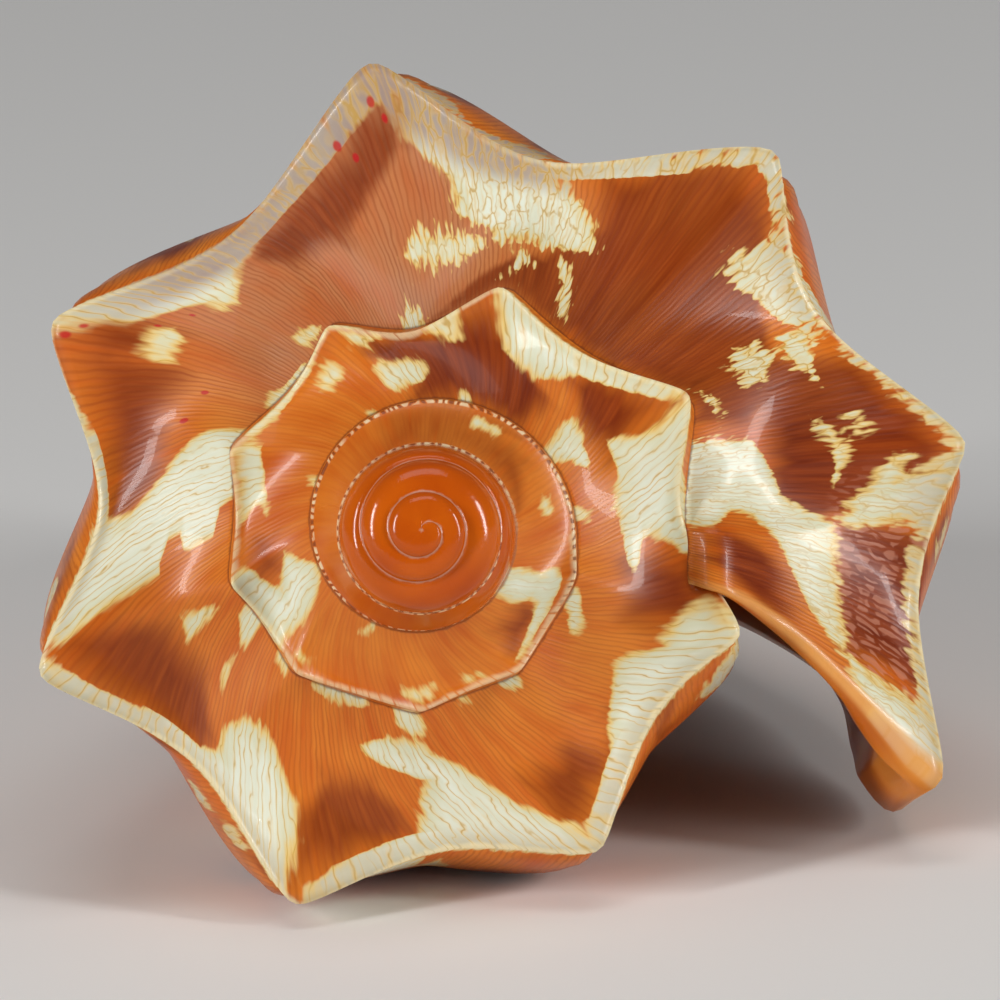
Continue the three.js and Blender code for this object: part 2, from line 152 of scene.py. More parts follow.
# Ribs below the spines: the share that fades at the edge, how soon it does, and how the rest fades
RIB_AT_EDGE = 0.22
RIB_EDGE_FADE = 0.025
RIB_FADE = 0.31
RIB_FADE_POWER = 1.6
# How a rib grows blunter and rounder than its spine, and over which share of the flank
RIB_BLUNTS = 0.5
RIB_BLUNTS_OVER = (0.0, 0.1)
RIB_ROUNDS = 0.15
RIB_ROUNDS_OVER = (0.0, 0.15)
LIFT_FADE = 0.05
FRONT_ROUNDS_FROM = 0.95

# Ramp: where its fall changes from a dome to a hollow, and near the mouth to a swell
RAMP_HOLLOWS = (-760.0, -560.0)
RAMP_AT_MOUTH = (335.0, 371.0)
HOLLOW_POWER = 1.35
SWELL_POWER = 1.3
SPINE_POWER = 2.2
# Raised welt of the ramp over the mouth: height, row, width in rows, and rows over which it starts
WELT_HEIGHT = 2.0
WELT_ROW = 0.16
WELT_WIDTH = 0.14
WELT_STARTS = (0.0, 0.07)

# Columns are bent back round the mouth by some degrees, over a span to both sides
MOUTH_BEND = 14.3
BEND_SPAN = 60.0
# Rows of the surfaces round the mouth: crest before the join, roof after it, and the floor
CREST_BEFORE = 0.04
ROOF_LEAST = 0.024
ROOF_RISES = 0.236
KNEE = 0.03
FLOOR_ROW = 1.965

# Inner face of the wall: how far in the roof may lie, how strong its spines are, and the spans over which
# the wall thickens to the lip, turns from downward to inward, and joins the roof and the floor
ROOF_SHARE_MOST = 0.4
INNER_SPINES = 0.45
THICKENS_BEFORE_LIP = (-40.0, 0.0)
THICKENS_ROWS = (0.0, 0.4)
INWARD_LEAST = 0.25
INWARD_ROWS = (0.55, 0.95)
DOWNWARD_ROWS = (0.95, 1.25)
ROOF_ROWS = (0.0, 0.12)
FLOOR_ROWS = (1.8, 2.0)
# Crest of the lip's rim as a share of half its thickness, how far it leans outward, and rows where it fades
RIM_CREST = 0.52
RIM_LEAN = 0.34
RIM_STARTS = (0.0, 0.5)
RIM_ENDS = (0.0, 0.08)

# Steps of the grids: degrees between columns, and rows in each stretch
COLUMN_STEP = 1.2
STEP_GROWTH = 1.02
WIDEST_STEP = 9.0
EARLY_RAMP_STEPS = 8
RAMP_STEPS = 24
HEM_STEPS = 4
RIM_STEPS = 8
KNEE_STEPS = 5
FLANK_STEPS = 56
FLANK_SPACING = 1.15
FINE_FROM = -760.0
# Width over which points are one, in metres
WELD = 2e-6

# Notch at the front end: an ellipse cut right through between the pillar and the lip
NOTCH_MIDDLE = 7.0
NOTCH_HALF_WIDTH = 3.8
NOTCH_DEPTH = 9.5
NOTCH_SIDES = 64
NOTCH_REACH = 30.0
# Turns and row that the cut faces carry
NOTCH_GROWTH = (385 / 360, 1.97)
# Triangles beside the notch, in millimetres: how far out they are evened, their shortest and longest edges,
# and how many times the long ones are halved
EVEN_WITHIN = 1.6
EVEN_SHORTEST = 0.12
EVEN_LONGEST = 0.45
EVEN_PASSES = 3
# Rounding of the notch's edge: how wide in millimetres, how far a point moves each time, and how many times
ROUND_WITHIN = 0.7
ROUND_PACE = 0.6
ROUND_PASSES = 12

# Cream patches of the ramp. Each is a list of rows, with the growth lines where the patch begins and ends
# on the row, in degrees of turn.
CREAM_PATCHES = [
    [(0.5, 24, 27), (0.6, 22, 33), (0.72, 20, 41), (0.84, 19, 47), (0.9, 16, 60), (1.005, 14, 64)],
    [(-0.1, 38, 47), (0.04, 39, 46), (0.1, 41, 44)],
    [(-0.1, 56, 60), (0.05, 57, 59)],
    [(-0.1, 70, 78), (0.1, 71, 79), (0.17, 72, 76)],
    [(-0.1, 85, 102), (0.06, 86, 103), (0.09, 93, 98)],
    [(-0.1, 110, 118), (0.06, 111, 116)],
    [(-0.1, 125, 132), (0.1, 126, 134), (0.2, 127, 129)],
    [(0.19, 74, 81), (0.26, 73.5, 88), (0.32, 73, 92), (0.4, 70, 88), (0.47, 68, 79), (0.56, 66.5, 81),
     (0.66, 65, 84), (0.76, 62, 86), (0.85, 60, 88), (0.91, 60, 106), (1.005, 60, 108)],
    [(0.42, 112, 120), (0.52, 110, 123), (0.6, 108, 126), (0.64, 106, 126.5), (0.78, 107, 128),
     (0.87, 108, 133), (0.93, 109, 158), (1.005, 110, 162)],
    [(0.2, 139.5, 141), (0.34, 140.5, 145), (0.44, 141.5, 146.5), (0.5, 142, 144)],
    [(0.27, 128.5, 129.5), (0.38, 128.5, 131), (0.5, 129, 130)],
    [(-0.1, 168, 190), (0.1, 166, 190), (0.13, 158, 190), (0.3, 157.5, 188), (0.34, 163.5, 187.5),
     (0.41, 164, 186), (0.44, 157, 185), (0.6, 157.5, 180), (0.72, 158.5, 177), (0.9, 160, 180),
     (0.94, 161, 196), (1.005, 162, 204)],
    [(-0.1, 199, 221), (0.03, 200, 220), (0.07, 201, 206)],
    [(0.56, 205.5, 210), (0.64, 205, 213), (0.7, 206, 211)],
    [(0.58, 220, 224), (0.7, 220.5, 229), (0.77, 211, 231), (0.84, 210, 237), (0.88, 209, 266),
     (1.005, 208, 268)],
    [(0.04, 224, 231), (0.12, 222.5, 229), (0.2, 223, 226)],
    [(-0.1, 252, 262), (0.08, 254, 261), (0.17, 256, 258)],
    [(0.28, 262, 272), (0.36, 259, 278), (0.43, 260, 278), (0.47, 263, 275)],
    [(0.12, 281, 284), (0.25, 284, 288), (0.32, 283, 286)],
    [(0.08, 297, 300), (0.2, 295.5, 299), (0.38, 293, 296)],
    [(0.36, 280, 288), (0.48, 278, 299), (0.54, 272, 299), (0.7, 271, 296), (0.78, 265, 293),
     (0.87, 264, 291), (0.92, 264, 319), (1.005, 264, 320)],
    [(0.66, 318, 321), (0.74, 317, 325), (0.8, 319, 332), (0.9, 320, 333), (1.005, 320, 334)],
    [(0.64, 333, 337), (0.72, 331, 341), (0.78, 332, 336), (0.9, 330, 334)],
    [(0.33, 333, 337), (0.45, 330, 338), (0.6, 331, 334)],
    [(-0.1, 344, 366), (0.12, 345, 366), (0.2, 346, 362), (0.3, 346, 363), (0.36, 352, 365),
     (0.42, 358, 369), (0.52, 360, 378), (0.6, 361, 381), (0.65, 362, 381)],
    [(0.57, 345, 349), (0.62, 346, 357), (0.66, 348, 352)],
    [(0.08, 333, 336), (0.13, 336, 341), (0.2, 340, 342)],
    [(0.7, 346, 349.5), (0.78, 345.5, 348.5)],
    [(0.72, 355, 357), (0.8, 351.5, 358), (0.85, 352, 355)],
    [(0.66, 358, 362), (0.8, 355, 361), (0.9, 353, 360), (1.005, 352, 362)],
    [(0.62, 380, 384), (0.8, 381, 388), (1.005, 380, 390)],
    [(0.92, 362, 388), (1.005, 362, 388)],
    [(0.93, 333, 354), (1.005, 332, 354)],
    [(-0.1, -352, -334), (0.3, -350, -331), (0.5, -348, -334), (0.66, -350, -330), (0.8, -346, -316),
     (0.88, -330, -306), (0.92, -314, -306)],
    [(0.74, -278, -268), (0.82, -277, -266), (0.9, -275, -268)],
    [(0.76, -296, -290), (0.88, -295, -288)],
    [(0.78, -233, -228), (0.9, -232, -226)],
    [(-0.05, -262, -259), (0.1, -259, -254), (0.2, -256, -252)],
    [(0.0, -219, -215), (0.1, -223, -210), (0.25, -225, -204), (0.37, -226, -199), (0.5, -226, -206),
     (0.6, -225.5, -209), (0.7, -224, -202), (0.8, -222, -195), (0.9, -221, -193), (1.005, -220, -195)],
    [(-0.05, -176, -168), (0.12, -173, -169)],
    [(0.58, -182, -177), (0.66, -178, -167), (0.75, -177, -156), (0.85, -179, -154), (0.97, -180, -155)],
    [(0.86, -156, -146), (0.93, -154, -134), (1.005, -152, -106)],
    [(-0.1, -132, -126), (0.08, -130, -127)],
    [(0.6, -130, -122), (0.7, -131, -120), (0.8, -129, -120), (0.87, -127, -122)],
    [(0.78, -115, -111), (0.87, -114, -105), (0.95, -115, -103)],
    [(0.18, -114, -109), (0.28, -116, -100), (0.4, -115.5, -97), (0.52, -115, -97), (0.6, -110, -99)],
    [(-0.1, -92, -83), (0.06, -90, -84), (0.14, -88, -86)],
    [(0.72, -87, -82), (0.84, -88, -82), (0.93, -90, -81), (1.005, -90, -80)],
    [(0.5, -68, -61), (0.58, -72, -56), (0.68, -73, -52), (0.8, -73, -47), (0.86, -73.5, -38),
     (0.92, -74, -28), (1.005, -74, -27)],
    [(-0.05, -50, -44), (0.1, -49, -40), (0.2, -48.5, -35), (0.27, -48, -30), (0.33, -48, -38),
     (0.43, -46, -42)],
    [(-0.05, -26, -20), (0.05, -24, -18), (0.14, -20, -17)],
    [(0.36, -22, -16), (0.42, -24, -8), (0.48, -34, 3), (0.55, -33, 4), (0.62, -31, -4), (0.74, -28, -2),
     (0.86, -27.5, 1), (1.005, -27, 8)],
    [(-0.05, 3, 9), (0.06, 5, 14), (0.13, 11, 20), (0.2, 16, 21)],
    [(0.64, 16, 22), (0.75, 13, 25), (0.86, 12, 25), (0.96, 12, 22)],
    [(0.57, -427, -414), (0.7, -427, -410), (0.81, -426, -413)],
    [(0.48, -378, -371), (0.6, -379, -370), (0.66, -376, -372)],
]
# Red-brown places of the ramp, in the same way
DEEP_PATCHES = [
    [(0.55, 92, 100), (0.7, 88, 107), (0.88, 88, 108)],
    [(0.45, 0, 14), (0.7, 2, 16), (0.96, 6, 18)],
    [(0.72, 22, 40), (0.88, 26, 50), (0.96, 30, 56)],
    [(0.6, 205, 211), (0.8, 204, 212), (0.9, 203, 214)],
    [(0.55, 135, 150), (0.75, 129, 157), (0.92, 132, 162)],
    [(0.6, 48, 60), (0.85, 48, 61)],
    [(0.55, 182, 204), (0.75, 178, 206), (0.9, 178, 206)],
    [(0.55, 238, 250), (0.75, 234, 264), (0.86, 238, 266)],
    [(0.0, 262, 340), (0.3, 288, 345), (0.6, 298, 334), (0.92, 296, 318)],
    [(0.36, 340, 362), (0.56, 334, 362), (0.75, 337, 358), (0.95, 338, 356)],
    [(0.1, 364, 374), (0.3, 368, 380), (0.42, 372, 380)],
    [(0.64, 361, 380), (0.8, 361, 379), (1.005, 361, 380)],
    [(0.0, -110, -62), (0.4, -100, -55), (0.65, -112, -72), (0.9, -108, -74)],
    [(0.45, -42, -30), (0.7, -50, -30), (0.88, -46, -30)],
    [(0.5, -203, -192), (0.7, -200, -188)],
    [(0.5, -330, -318), (0.75, -328, -312)],
    [(0.0, -475, -430), (0.5, -470, -425), (0.9, -470, -400)],
    [(0.1, -450, -380), (0.5, -440, -395), (0.6, -440, -395)],
]

# Distance that stands for far from every patch and speck, in millimetres
FAR_AWAY = 9.0


def colour(red, green, blue):
    """Colour from the amounts that a screen shows, 0 to 255."""
    shown = np.array([red, green, blue]) / 255
    linear = np.where(shown < 0.04045, shown / 12.92, ((shown + 0.055) / 1.055) ** 2.4)
    return (*linear.tolist(), 1.0)


ORANGE_LIGHT = colour(212, 124, 40)
ORANGE_DEEP = colour(188, 84, 14)
RED_BROWN = colour(100, 28, 1)
CHESTNUT = colour(138, 54, 8)
TIP_ORANGE = colour(200, 108, 32)
LINE_BROWN = colour(128, 46, 6)
# Painted sheen: orange made hazy and pinkish, as by a broad reflection of the lights
SHEEN_ORANGE = colour(164, 118, 90)
CREAM = colour(206, 205, 174)
WHITE = colour(220, 224, 208)
# Grey-mauve: painted shade on the cream of part of the last turn, and a greyer tone near the shoulder's edge
GREY_MAUVE = colour(152, 132, 124)
RIDGE_PALE = colour(232, 216, 172)
YELLOW = colour(222, 180, 84)
OCHRE = colour(182, 142, 58)
BEAD_DARK = colour(104, 48, 26)
BEAD_PALE = colour(225, 205, 165)
SUTURE_PINK = colour(190, 140, 115)
# Later colour of the suture line: brown with painted shade of the groove
SUTURE_BROWN_SHADE = colour(104, 44, 20)
MAUVE = colour(198, 134, 108)
CRIMSON = colour(178, 20, 30)
YOUNG_LIGHT = colour(190, 86, 6)
YOUNG_DEEP = colour(172, 68, 3)
MOUTH_LIGHT = colour(204, 122, 38)
MOUTH_DEEP = colour(186, 94, 16)
LIP_PALE = colour(222, 164, 92)
FLOOR_PALE = (0.8, 0.79, 0.77, 1)
FLOOR_ROUGHNESS = 0.8
STUDIO_GREY = (0.1, 0.1, 0.103, 1)

# Grains of the colours: length along the shoulder and width across in millimetres, how many finer layers
# they have, how rough those are, and how far the pattern is moved so that no two are alike
Grain = namedtuple("Grain", "length width layers roughness moved", defaults=(0.5, (0.0, 0.0)))
BROAD = Grain(9.0, 7.0, 2)
STREAKS = Grain(1.3, 9.0, 2)
FINE_STREAKS = Grain(0.35, 6.0, 1)
WAVES = Grain(1.9, 2.8, 2)
ZIGZAG = Grain(0.9, 1.1, 1, moved=(11.0, 0.0))
FRINGE = Grain(0.7, 3.2, 2, 0.6)
FLANK_CREAM = Grain(7.0, 10.0, 1, moved=(40.0, 0.0))
FLANK_DEEP = Grain(6.0, 9.0, 2, moved=(0.0, 5.0))
GRAIN_STRENGTH = 2.6
# Cells of the net: length, width, how far they are bent, and how irregular they are
NET_LENGTH = 0.72
NET_WIDTH = 2.1
NET_BENDS = (1.2, 2.0)
NET_RANDOMNESS = 0.9
# Millimetres between growth lines, between threads in the cream and between beads
LINE_GAP = 0.5
THREAD_GAP = 0.76
BEAD_GAP = 0.74
SUTURE_BEAD_GAP = 1.11

# Turn angles over which the markings come and go as the shell grows, and over which part of the last turn has
# painted sheen and painted shade
PAINT_BEGINS = (-700.0, -420.0)
LINES_BEGIN = (-620.0, -380.0)
LINES_DARKEN = (-200.0, 80.0)
LINES_DARKEN_AGAIN = (150.0, 240.0)
DEEP_BEGINS = (-430.0, -340.0)
DEEP_SOFTENS = (0.0, 30.0)
DEEP_HARDENS = (335.0, 350.0)
# Painted sheen on the ramp of the last turn, as by a broad reflection
SHEEN_BEGINS = (200.0, 235.0)
SHEEN_ENDS = (272.0, 305.0)
NET_BEGINS = (225.0, 265.0)
NET_THINS = (336.0, 352.0)
# Painted shade on the cream of part of the last turn
SHADE_BEGINS = (200.0, 225.0)
SHADE_ENDS = (278.0, 310.0)
EDGE_GREYING_BEGINS = (0.0, 40.0)
THREADS_BEGIN = (-400.0, -60.0)
RIDGE_BEGINS = (-420.0, -340.0)
RIDGE_BRIGHTENS = (-20.0, 20.0)
LIP_CELLS_BEGIN = (350.0, 358.0)
SUTURE_DARKENS = (-420.0, -300.0)
BEADS_BEGIN = (-1080.0, -1000.0)
BEADS_END = (-350.0, -320.0)
SUTURE_BEADS_BEGIN = (-760.0, -700.0)
SUTURE_BEADS_END = (-400.0, -350.0)

# Rows over which colours change, and the middles of the two bands of the flank
TIP_ROWS = (1.86, 1.97)
# Rows over which the painted sheen blurs the cream patches' edges
SHEEN_ROWS = (0.6, 0.86)
# Rows of the painted shade on the cream, and of the greying near the shoulder's edge
SHADE_ROWS = (0.7, 0.86)
EDGE_GREYING_ROWS = (0.78, 0.96)
LIP_CELL_ROWS = (0.58, 0.66)
FLANK_BANDS = (1.2, 1.52)
FLANK_BAND_EDGE = (0.04, 0.12)

# Distances over which colours change, in millimetres: past the shoulder, into a patch, and from the
# shoulder's edge, a suture, a speck, the lip and the notch
ONTO_FLANK = (-0.3, 1.0)
INTO_DEEP = (-1.4, 1.6)
INTO_CREAM = (-0.25, 0.35)
# How much wider the cream patches' edges blur under the painted sheen
CREAM_BLURS = (-1.1, 0.9)
INTO_WHITE = (0.6, 2.6)
RIM_WIDTH = (0.05, 0.95)
NET_RAGS = (0.6, 1.6)
RIDGE_EDGE = (-0.2, 0.25)
RIDGE_INSET = 0.1
BEAD_EDGE = (0.1, 0.26)
SUTURE_BEAD_MIDDLE = 0.14
SUTURE_BEAD_EDGE = (0.06, 0.2)
SPECK_EDGE = (-0.06, 0.1)
LIP_EDGE_WIDTH = (0.1, 1.2)
CUT_EDGE_WIDTH = (0.2, 1.2)
# The same as shares: of the gap between lines, of a cell, of the gap between beads, and of the way round
# the lip's rim
LINE_SHARE = (0.04, 0.3)
THREAD_SHARE = (0.01, 0.1)
THREAD_HALO = (0.04, 0.3)
NET_LINE = (0.02, 0.1)
NET_HALO = (0.05, 0.24)
NET_CELL = (0.12, 0.3)
PALE_BEAD = (0.16, 0.3)
DARK_BEAD = (0.3, 0.4)
INSIDE_RIM = (0.0, 0.2)
LIP_PALE_RIM = (0.08, 0.24)

# Sums of grains over which a colour gives way to its neighbour
TONES = (-0.8, 0.8)
DARK_TONES = (-0.7, 0.9)
FLANK_TONES = (0.0, 0.8)
THREAD_TONES = (-1.1, 0.4)
TICK_TONES = (0.0, 0.6)
BEAD_TONES = (-0.9, 0.5)

# How much of what is under it each marking covers
DEEP_COVERS = 0.96
DEEP_SOFTENED = 0.13
DEEP_ON_EARLY_TURNS = 0.45
BANDS_GATHER = 0.5
TIP_COVERS = 0.9
LINES_COVER = 0.65
LINES_ON_EARLY_TURNS = 0.3
# What the growth lines gain over each of their two spans
LINES_GAIN = (0.4, 0.3)
# How far the cream greys near the shoulder's edge
EDGE_GREYED = 0.4
RIM_COVERS = 0.8
# How much less the yellow rims cover where the cream is greyed
RIM_GREYED = 0.5
HALO_COVERS = 0.36
THREADS_COVER = 0.72
THREADS_ON_EARLY_TURNS = 0.25
THREADS_LEFT_BY_NET = 0.8
LIP_CELLS_COVER = 0.45
RIDGE_COVERS = 0.8
# Share by which the pale edge gives way under the painted sheen
RIDGE_UNDER_SHEEN = 0.6
RIDGE_ON_EARLY_TURNS = 0.6
TICKS_COVER = 0.8
SUTURE_COVERS = 0.7
DARK_BEADS_COVER = 0.7
SPECKS_COVER = 0.85
LIP_BAND_COVERS = 0.85
# Pale beads are uneven: the least that one covers, and how much more the strongest do
PALE_BEADS_COVER = (0.14, 0.66)
# Edges of the cream patches: how far those of the flank swell, and how far the fringe reaches and how much
# it grows in the net
FLANK_CREAM_SWELLS = 5.0
FRINGE_REACH = 0.5
FRINGE_IN_NET = 0.8
# Ragged edges in the net: what a place's distance from the cell's edge, up to a most, has past the middle
# one moves a patch's edge by so many times as much
CELL_MOST = 0.4
CELL_MIDDLE = 0.24
CELL_REACH = 2.2
# How much of the net goes beside the lip
NET_THINNED = 0.6
# How far the waves and the zigzag bend the lines, the threads and the rows of beads
WAVE_REACH = 0.5
ZIGZAG_REACH = 0.2
LINE_ZIGZAG = 0.35
THREAD_BENDS = (1.5, 1.2)
BEAD_WAVE = 2.2

# Crimson specks on the ramp: turn angle, row, and radius in millimetres
SPECKS = [
    (204.5, 0.42, 0.3), (212.2, 0.38, 0.28), (208.6, 0.95, 0.2), (211, 0.9, 0.17), (217.6, 0.7, 0.17),
    (223, 0.66, 0.14), (257.4, 0.88, 0.18), (259.9, 0.8, 0.16), (263.1, 0.9, 0.2), (264.7, 0.84, 0.16),
]

# Gloss: roughness of the early turns and how much the others add, reflection and clear coat
YOUNG_ROUGHNESS = 0.14
GROWN_ROUGHNESS = 0.2
REFLECTION = 0.24
COAT = 0.1
COAT_ROUGHNESS = 0.05
# Relief of the growth lines: depth in metres, strength, and the lines' own share
RELIEF_DEPTH = 0.00006
RELIEF_STRENGTH = 0.4
LINE_RELIEF = -0.6

# The photograph: its size, millimetres to a pixel, the pixel of the spire's tip, and the camera's height
# over that tip and over the shoulder, in millimetres
PHOTO_SIZE = 1000
PIXEL = 0.078
APEX_PIXEL = (422.5, 529.5)
CAMERA_HEIGHT = 1500.0
SHOULDER_DEPTH = 20.0
SENSOR = 36
SIGHT = 20
# Studio, in metres: half the floor's width, the middle of the shell, and each soft light's direction in the
# growth frame, distance, width, height and power
FLOOR_REACH = 3
SHELL_MIDDLE = Vector((0, 0, 0.03))
SOFT_LIGHTS = {
    "left": ((-1.0, 0.15, 0.75), 0.9, 0.12, 0.45, 5.8),
    "right": ((1.0, 0.15, 0.75), 0.9, 0.12, 0.45, 5.4),
    "above": ((0.0, 1.0, 0.6), 1.0, 0.7, 0.4, 2.3),
}


def through(keys, x):
    """Smooth curve through the keys: cubic pieces with the mean slope of the neighbours at each key."""
    at, value = np.array(keys, dtype=float).T
    slope = np.empty_like(value)
    slope[1:-1] = (value[2:] - value[:-2]) / (at[2:] - at[:-2])
    slope[0] = (value[1] - value[0]) / (at[1] - at[0])
    slope[-1] = (value[-1] - value[-2]) / (at[-1] - at[-2])
    x = np.clip(x, at[0], at[-1])
    i = np.clip(np.searchsorted(at, x) - 1, 0, len(at) - 2)
    width = at[i + 1] - at[i]
    t = (x - at[i]) / width
    return (
        (2 * t**3 - 3 * t**2 + 1) * value[i]
        + (t**3 - 2 * t**2 + t) * width * slope[i]
        + (3 * t**2 - 2 * t**3) * value[i + 1]
        + (t**3 - t**2) * width * slope[i + 1]
    )


def ease(x):
    """Rise from 0 to 1 with level ends: 3t^2 - 2t^3 of x held between 0 and 1."""
    t = np.clip(x, 0, 1)
    return t * t * (3 - 2 * t)


def over(span, x):
    """Rise from 0 to 1 over a span of x, with level ends."""
    return ease((x - span[0]) / (span[1] - span[0]))


def bell(x):
    """Bell curve: e to the minus x squared."""
    return np.exp(-x * x)


knob_angle, knob_point, knob_hollow = np.array(KNOBS, dtype=float).T
hollow_angle = (knob_angle[:-1] + knob_angle[1:]) / 2
HOLLOW_CURVE = sorted(EARLY_TURNS + list(zip(hollow_angle, knob_hollow)) + [BESIDE_MOUTH])
POINT_CURVE = EARLY_TURNS + list(zip(knob_angle, knob_point))


def hollow_radius(angle):
    """Shoulder radius with the spines left out."""
    return through(HOLLOW_CURVE, angle)


def spine_reach(angle):
    """How far a spine stands out past the hollows beside it."""
    return np.maximum(through(POINT_CURVE, angle) - hollow_radius(angle), 0) * over(KNOBS_GROW, angle)


def spine_shape(angle, sharpness=SPINE_SHARPNESS, rounding=SPINE_ROUNDING):
    """1 on a spine's point and 0 midway: (1 - distance from the point) to a power, the point rounded."""
    i = np.clip(np.searchsorted(knob_angle, angle) - 1, 0, len(knob_angle) - 2)
    share = np.clip((angle - knob_angle[i]) / (knob_angle[i + 1] - knob_angle[i]), 0, 1)
    away = 1 - np.abs(2 * share - 1)
    full = np.hypot(1, rounding) - rounding
    shape = (1 - (np.hypot(away, rounding) - rounding) / full) ** sharpness
    return np.where(angle < KNOBS_BEGIN, 0, shape)


def shoulder_height(angle):
    """Height of the shoulder along the coil's axis."""
    return through(SHOULDER_HEIGHTS, angle)


def spine_lift(angle):
    """How far the shoulder rises towards the spire at a spine: a share of its radius."""
    return SPINE_LIFT * hollow_radius(angle) * over(KNOBS_GROW, angle)


def keel(angle):
    """How far the shoulder's edge stands up as a rounded keel: a share of its radius past the first knobs."""
    return KEEL_HEIGHT * hollow_radius(angle) * over(KEEL_GROWS, angle)


def join_row(angle):
    """Row at which the next turn is joined on: just under the shoulder, and on the ramp near the mouth."""
    under = JOIN_DROP * hollow_radius(angle) / (shoulder_height(angle) - FRONT_TIP)
    climbed = through(MOUTH_JOIN, angle) + under * (1 - over(JOIN_CLIMBS, angle))
    return np.where(angle < JOIN_CLIMBS[0], 1 + under, climbed)


def pillar_folds(angle, share):
    """Slanting folds on the pillar: bells across the share that drift forward with the turn."""
    past = angle - INNER
    height = 0
    for fold in range(FOLDS):
        middle = FIRST_FOLD + FOLD_GAP * fold + FOLD_DRIFT * past / TURN
        width = FOLD_WIDTH - FOLD_NARROWS * fold
        height = height + (FOLD_HEIGHT - FOLD_LOWERS * fold) * bell((share - middle) / width)
    return height * over(FOLDS_RISE, past) * (1 - over(FOLDS_END, past))


def notch_band(angle, share):
    """Raised band round the front end: a bell across the share that drifts forward with the turn."""
    middle = BAND_SHARE + BAND_DRIFT * (angle - INNER) / TURN
    grown = over(BAND_RISES, angle - INNER) * (1 - over(BAND_ENDS, angle - LIP))
    return BAND_HEIGHT * grown * bell((share - middle) / BAND_WIDTH)


def lean(share):
    """Degrees by which growth lines lean back at once below the shoulder: a share of LEAN that levels off."""
    return LEAN * (1 - np.exp(-share / LEAN_WITHIN))


def rib(angle, share):
    """Rib below a spine: the spine's reach and shape, blunter and lower with the share of the flank."""
    leaning = angle - lean(share)
    sharpness = SPINE_SHARPNESS - RIB_BLUNTS * over(RIB_BLUNTS_OVER, share)
    rounding = SPINE_ROUNDING + RIB_ROUNDS * over(RIB_ROUNDS_OVER, share)
    fade = RIB_AT_EDGE * np.exp(-share / RIB_EDGE_FADE)
    fade = fade + (1 - RIB_AT_EDGE) * np.exp(-((share / RIB_FADE) ** RIB_FADE_POWER))
    return spine_reach(leaning) * spine_shape(leaning, sharpness, rounding) * fade


def flank(angle, share, spines):
    """Flank below the shoulder: radius is the shoulder's times a curve of the share, plus fading ribs."""
    grown = np.clip((angle - INNER) / TURN, 0, 1)
    ratio = through(FLANK_START, share) * (1 - grown) + through(FLANK_END, share) * grown
    past = np.maximum(share - FRONT_ROUNDS_FROM, 0) / (1 - FRONT_ROUNDS_FROM)
    closing = np.sqrt(np.maximum(1 - past**2, 0))
    body = hollow_radius(angle) * ratio + pillar_folds(angle, share) + notch_band(angle, share)
    lift = spine_lift(angle) * spine_shape(angle) * np.exp(-share / LIFT_FADE)
    top = shoulder_height(angle) + lift + keel(angle) * np.exp(-share / KEEL_ON_FLANK)
    return (body + spines * rib(angle, share)) * closing, top + (FRONT_TIP - top) * share


def suture(angle):
    """Where the turn at an angle sits on the turn before it; on the tip of the spire for the first turn."""
    before = angle - TURN
    radius, height = section(np.maximum(before, BIRTH), join_row(np.maximum(before, BIRTH)), 1)
    born = before > BIRTH
    return np.where(born, radius, 0), np.where(born, height, 0)


def ramp(angle, row, spines):
    """Ramp from the suture out to the shoulder: a straight run out, a concave fall, and slanting spines."""
    start_radius, start_height = suture(angle)
    spine = spine_shape(angle - through(RAMP_SLANT, angle) * (1 - row))
    domed = 1 - np.sqrt(1 - row**2)
    hollowed = 1 - (1 - row) ** HOLLOW_POWER
    at_mouth = over(RAMP_AT_MOUTH, angle)
    hollowed = hollowed * (1 - at_mouth) + row**SWELL_POWER * at_mouth
    grown = over(RAMP_HOLLOWS, angle)
    fall = (1 - grown) * domed + grown * hollowed
    welt = WELT_HEIGHT * at_mouth * bell((row - WELT_ROW) / WELT_WIDTH) * over(WELT_STARTS, row)
    across = start_radius + (hollow_radius(angle) - start_radius) * row
    down = start_height + (shoulder_height(angle) - start_height) * fall
    radius = across + spines * spine_reach(angle) * spine * row**SPINE_POWER
    edge = keel(angle) * bell((1 - row) / KEEL_ON_RAMP)
    return radius, down + spine_lift(angle) * spine * row**2 + welt + edge


def section(angle, row, spines):
    """Radius and height at a row: 0 at the suture, 1 at the shoulder, 2 at the front tip."""
    angle, row = np.broadcast_arrays(np.asarray(angle, dtype=float), np.asarray(row, dtype=float))
    radius, height = np.empty(angle.shape), np.empty(angle.shape)
    upper = row < 1
    if upper.any():
        radius[upper], height[upper] = ramp(angle[upper], row[upper], spines)
    if not upper.all():
        lower = ~upper
        radius[lower], height[lower] = flank(angle[lower], np.minimum(row[lower] - 1, 1), spines)
    return radius, height


def place(angle, radius, height):
    """Points of the growth frame: clockwise turn angle, distance from the axis, and height."""
    turned = np.radians(angle)
    return np.stack([radius * np.cos(turned), -radius * np.sin(turned), height], axis=-1)


def mouth_bend(column):
    """How far columns are bent back round the mouth: 1 at its inner edge, fading over BEND_SPAN degrees."""
    return 1 - ease(np.abs(column - INNER) / BEND_SPAN)


def join_of_column(column):
    """Row of the join on a column. It stays the same past the mouth, where no turn joins on."""
    covered = np.minimum(column, INNER)
    return join_row(covered - MOUTH_BEND * mouth_bend(covered))


def column_angle(column, row):
    """Turn angle of a column at a row: bent back round the mouth, and shaped to the lip's edge."""
    join = join_of_column(column)
    bent = np.where(row < join, ease(row / join), 1 - ease(row - join))
    to_lip = ease((column - LIP + BEND_SPAN) / BEND_SPAN)
    return column - MOUTH_BEND * mouth_bend(column) * bent + through(LIP_EDGE, row) * to_lip


